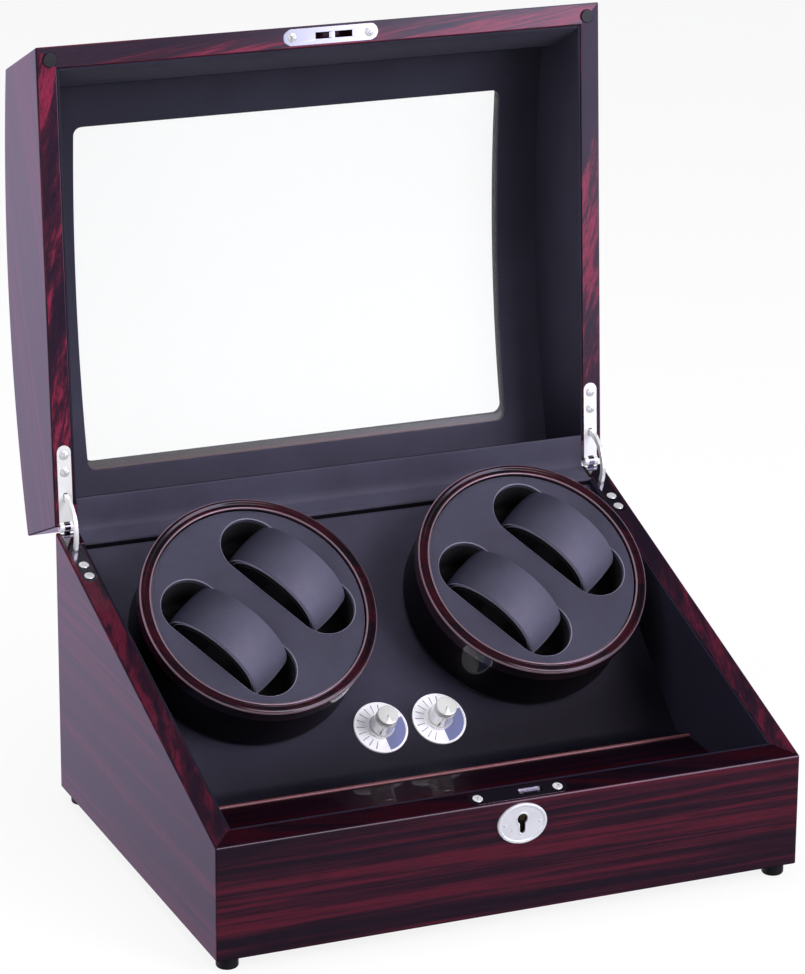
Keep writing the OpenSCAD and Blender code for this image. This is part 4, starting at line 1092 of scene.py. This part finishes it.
def make_lock():
    slot_x = 6.6
    plate = prism(stadium(STRIKE_LEN, STRIKE_W), -PLATE_T, 0.1, [rectangle(11.8, 3.8, slot_x, 0, 0.4)])
    bevel(plate, 0.35, 3, keep=lambda e: middle(e).z > 0, least=60)
    piece("lock_plate", plate, "base", PAINTED_DARK_CHROME, base_rim(LOCK_X, RIM_MID), "lock_rim_plate")
    strike = prism(stadium(STRIKE_LEN, STRIKE_W), -0.1, PLATE_T,
                   [rectangle(7, 3.2, -4.4, 0, 0.3), rectangle(9, 3.2, slot_x, 0, 0.3)])
    bevel(strike, 0.35, 3, keep=lambda e: middle(e).z < 0, least=60)
    piece("strike", strike, "lid", CHROME, lid_rim(LOCK_X, RIM_MID), "strike_plate")
    drop = ESCUTCHEON_Z - KEYHOLE_Z
    face = prism(oval(23.2, 18.2), 0, 0.75, [keyhole(0, -drop)])
    border = prism(oval(24.4, 19.4), 0, 1.25, [oval(21.2, 16.2)])
    bevel(border, 0.5, 3, keep=lambda e: middle(e).z > 1, least=60)
    lip = prism(keyhole(0, -drop, 0.75), 0, 1.0, [keyhole(0, -drop)])
    bevel(lip, 0.2, 2, keep=lambda e: middle(e).z > 0.9, least=60)
    nails = [placed(lathe([(0, 0), (0.75, 0), (0.75, 0.85), (0.55, 1.05), (0, 1.15)], 20), move(x, 0, 0))
             for x in (-8.6, 8.6)]
    piece("keyhole_plate", join([face, border, lip, *nails]), "base", SATIN,
          move(LOCK_X, -BOX_D / 2, ESCUTCHEON_Z) @ turn(90), "escutcheon")


def make_small_parts():
    from_cad("base_leaves", "base_hinge_leaves", "base", PAINTED_DARK_CHROME, 0.18)
    from_cad("lid_leaves", "lid_hinge_leaves", "lid", PAINTED_BRIGHT_CHROME, 0.18)
    from_cad("curved_stays", "stay_arms", "stays", PAINTED_BRIGHT_CHROME, 0.35)
    from_cad("rubber_feet", "feet", "base", RUBBER, 0.3)
    from_cad("lid_buffers", "lid_bumpers", "lid", RUBBER, 0.35, 3)


make_base_box()
make_lid_box()
make_linings()
make_window_liner()
make_deck()
make_flap()
for side_name, side in (("left", -1), ("right", 1)):
    make_turntable(side_name, side)
    for row_name, row in (("upper", 1), ("lower", -1)):
        make_cushion(side_name, side, row_name, row)
make_controls()
make_screws()
make_lock()
make_small_parts()

# ---- stage, lights and camera


def area(name, at, target, size, watts):
    light = bpy.data.lights.new(name, "AREA")
    light.shape, light.size, light.size_y = "RECTANGLE", size[0], size[1]
    light.energy = watts
    o = show(name, light)
    o.location = at
    o.rotation_mode = "QUATERNION"
    o.rotation_quaternion = (Vector(target) - Vector(at)).to_track_quat("-Z", "Y")
    o.visible_glossy = False


def set_world():
    """White to the eye; a studio's horizon and two panels to glossy rays; plain grey to the rest."""
    w = bpy.data.worlds.new("studio")
    bpy.context.scene.world = w
    w.use_nodes = True
    nt = w.node_tree
    nt.nodes.clear()
    way = add(nt, "TexCoord").outputs["Generated"]
    x, y, z = add(nt, "SeparateXYZ", {0: way}).outputs
    height = math_node(nt, "MULTIPLY_ADD", z, 0.5, 0.5)
    back = ramp(nt, height, [(0.20, 0.08), (0.27, 0.42), (0.30, 0.62), (0.335, 0.88), (0.375, 1.1),
                             (0.45, 1.15), (0.53, 1.1), (0.60, 0.55), (0.70, 0.10), (1.0, 0.04)])
    back = mix(nt, back, (0.66, 0.54, 0.80), 1.0, "MULTIPLY")
    front = ramp(nt, height, [(0.20, 0.02), (0.33, 0.04), (0.37, 0.07), (0.40, 0.16), (0.47, 0.25),
                              (0.55, 0.22), (0.70, 0.05), (1.0, 0.03)])
    sky = mix(nt, front, back, rise(nt, y, -0.25, 0.35))
    azimuth = math_node(nt, "ARCTAN2", x, math_node(nt, "MULTIPLY", y, -1.0))
    panel = 1.0
    for source, lo, hi in ((azimuth, 0.33, 0.45), (math_node(nt, "MULTIPLY", azimuth, -1.0), -1.15, -0.95),
                           (z, -0.23, -0.12), (math_node(nt, "MULTIPLY", z, -1.0), -0.42, -0.34)):
        panel = math_node(nt, "MULTIPLY", rise(nt, source, lo, hi), panel)
    sky = mix(nt, sky, (2.9, 2.9, 4.0), panel)
    facing = add(nt, "VectorMath", {0: way}, operation="DOT_PRODUCT")
    facing.inputs[1].default_value = Vector((0.37, -0.74, 0.56)).normalized()
    sky = mix(nt, sky, (5.0, 4.2, 5.0), rise(nt, facing.outputs["Value"], 0.950, 0.978))
    paths = add(nt, "LightPath")
    seen = math_node(nt, "MAXIMUM", paths.outputs["Is Camera Ray"], paths.outputs["Is Transmission Ray"])
    plain = mix(nt, (0.50, 0.50, 0.53), sky, paths.outputs["Is Glossy Ray"])
    bg = add(nt, "Background", {0: mix(nt, plain, (1.0, 1.0, 1.0), seen)})
    add(nt, "OutputWorld", {0: bg.outputs[0]})


def set_floor():
    bm = bmesh.new()
    bmesh.ops.create_grid(bm, x_segments=1, y_segments=1, size=3.0)
    me = to_mesh("floor", bm)
    o = show("floor", me)
    m = bpy.data.materials.new("floor_paper")
    m.use_nodes = True
    nt = m.node_tree
    nt.nodes.clear()
    paths = add(nt, "LightPath")
    paper = add(nt, "BsdfDiffuse", Color=(0.86, 0.86, 0.87, 1))
    glow = add(nt, "Emission", Color=(1, 1, 1, 1), Strength=1.0)
    fac = math_node(nt, "MULTIPLY", paths.outputs["Is Camera Ray"], 0.86)
    shade = add(nt, "MixShader", {0: fac, 1: paper.outputs[0], 2: glow.outputs[0]})
    add(nt, "OutputMaterial", {0: shade.outputs[0]})
    me.materials.append(m)
    o.visible_glossy = False


def set_camera():
    cam = bpy.data.cameras.new("camera")
    cam.sensor_width, cam.lens = 36.0, 150.05
    cam.clip_start, cam.clip_end = 0.05, 20.0
    o = show("camera", cam)
    target, azimuth, elevation, distance, roll = Vector((-0.01044, 0, 0.17832)), -22.97, 18.42, 1.8914, 0.36
    back = Vector((sind(azimuth) * cosd(elevation), -cosd(azimuth) * cosd(elevation), sind(elevation)))
    o.location = target + back * distance
    o.rotation_mode = "QUATERNION"
    look = (-back).to_track_quat("-Z", "Y")
    o.rotation_quaternion = look @ Matrix.Rotation(math.radians(roll), 4, "Z").to_quaternion()
    bpy.context.scene.camera = o


bpy.context.scene.view_settings.view_transform = "Standard"
set_world()
set_floor()
set_camera()
area("key", (0.95, -1.5, 1.15), (0, 0, 0.12), (0.9, 0.9), 30)
area("top", (-0.1, 0.15, 1.6), (0, 0, 0.1), (1.0, 0.8), 12)
area("left", (-1.5, -0.6, 0.7), (0, 0, 0.12), (0.7, 1.0), 9)
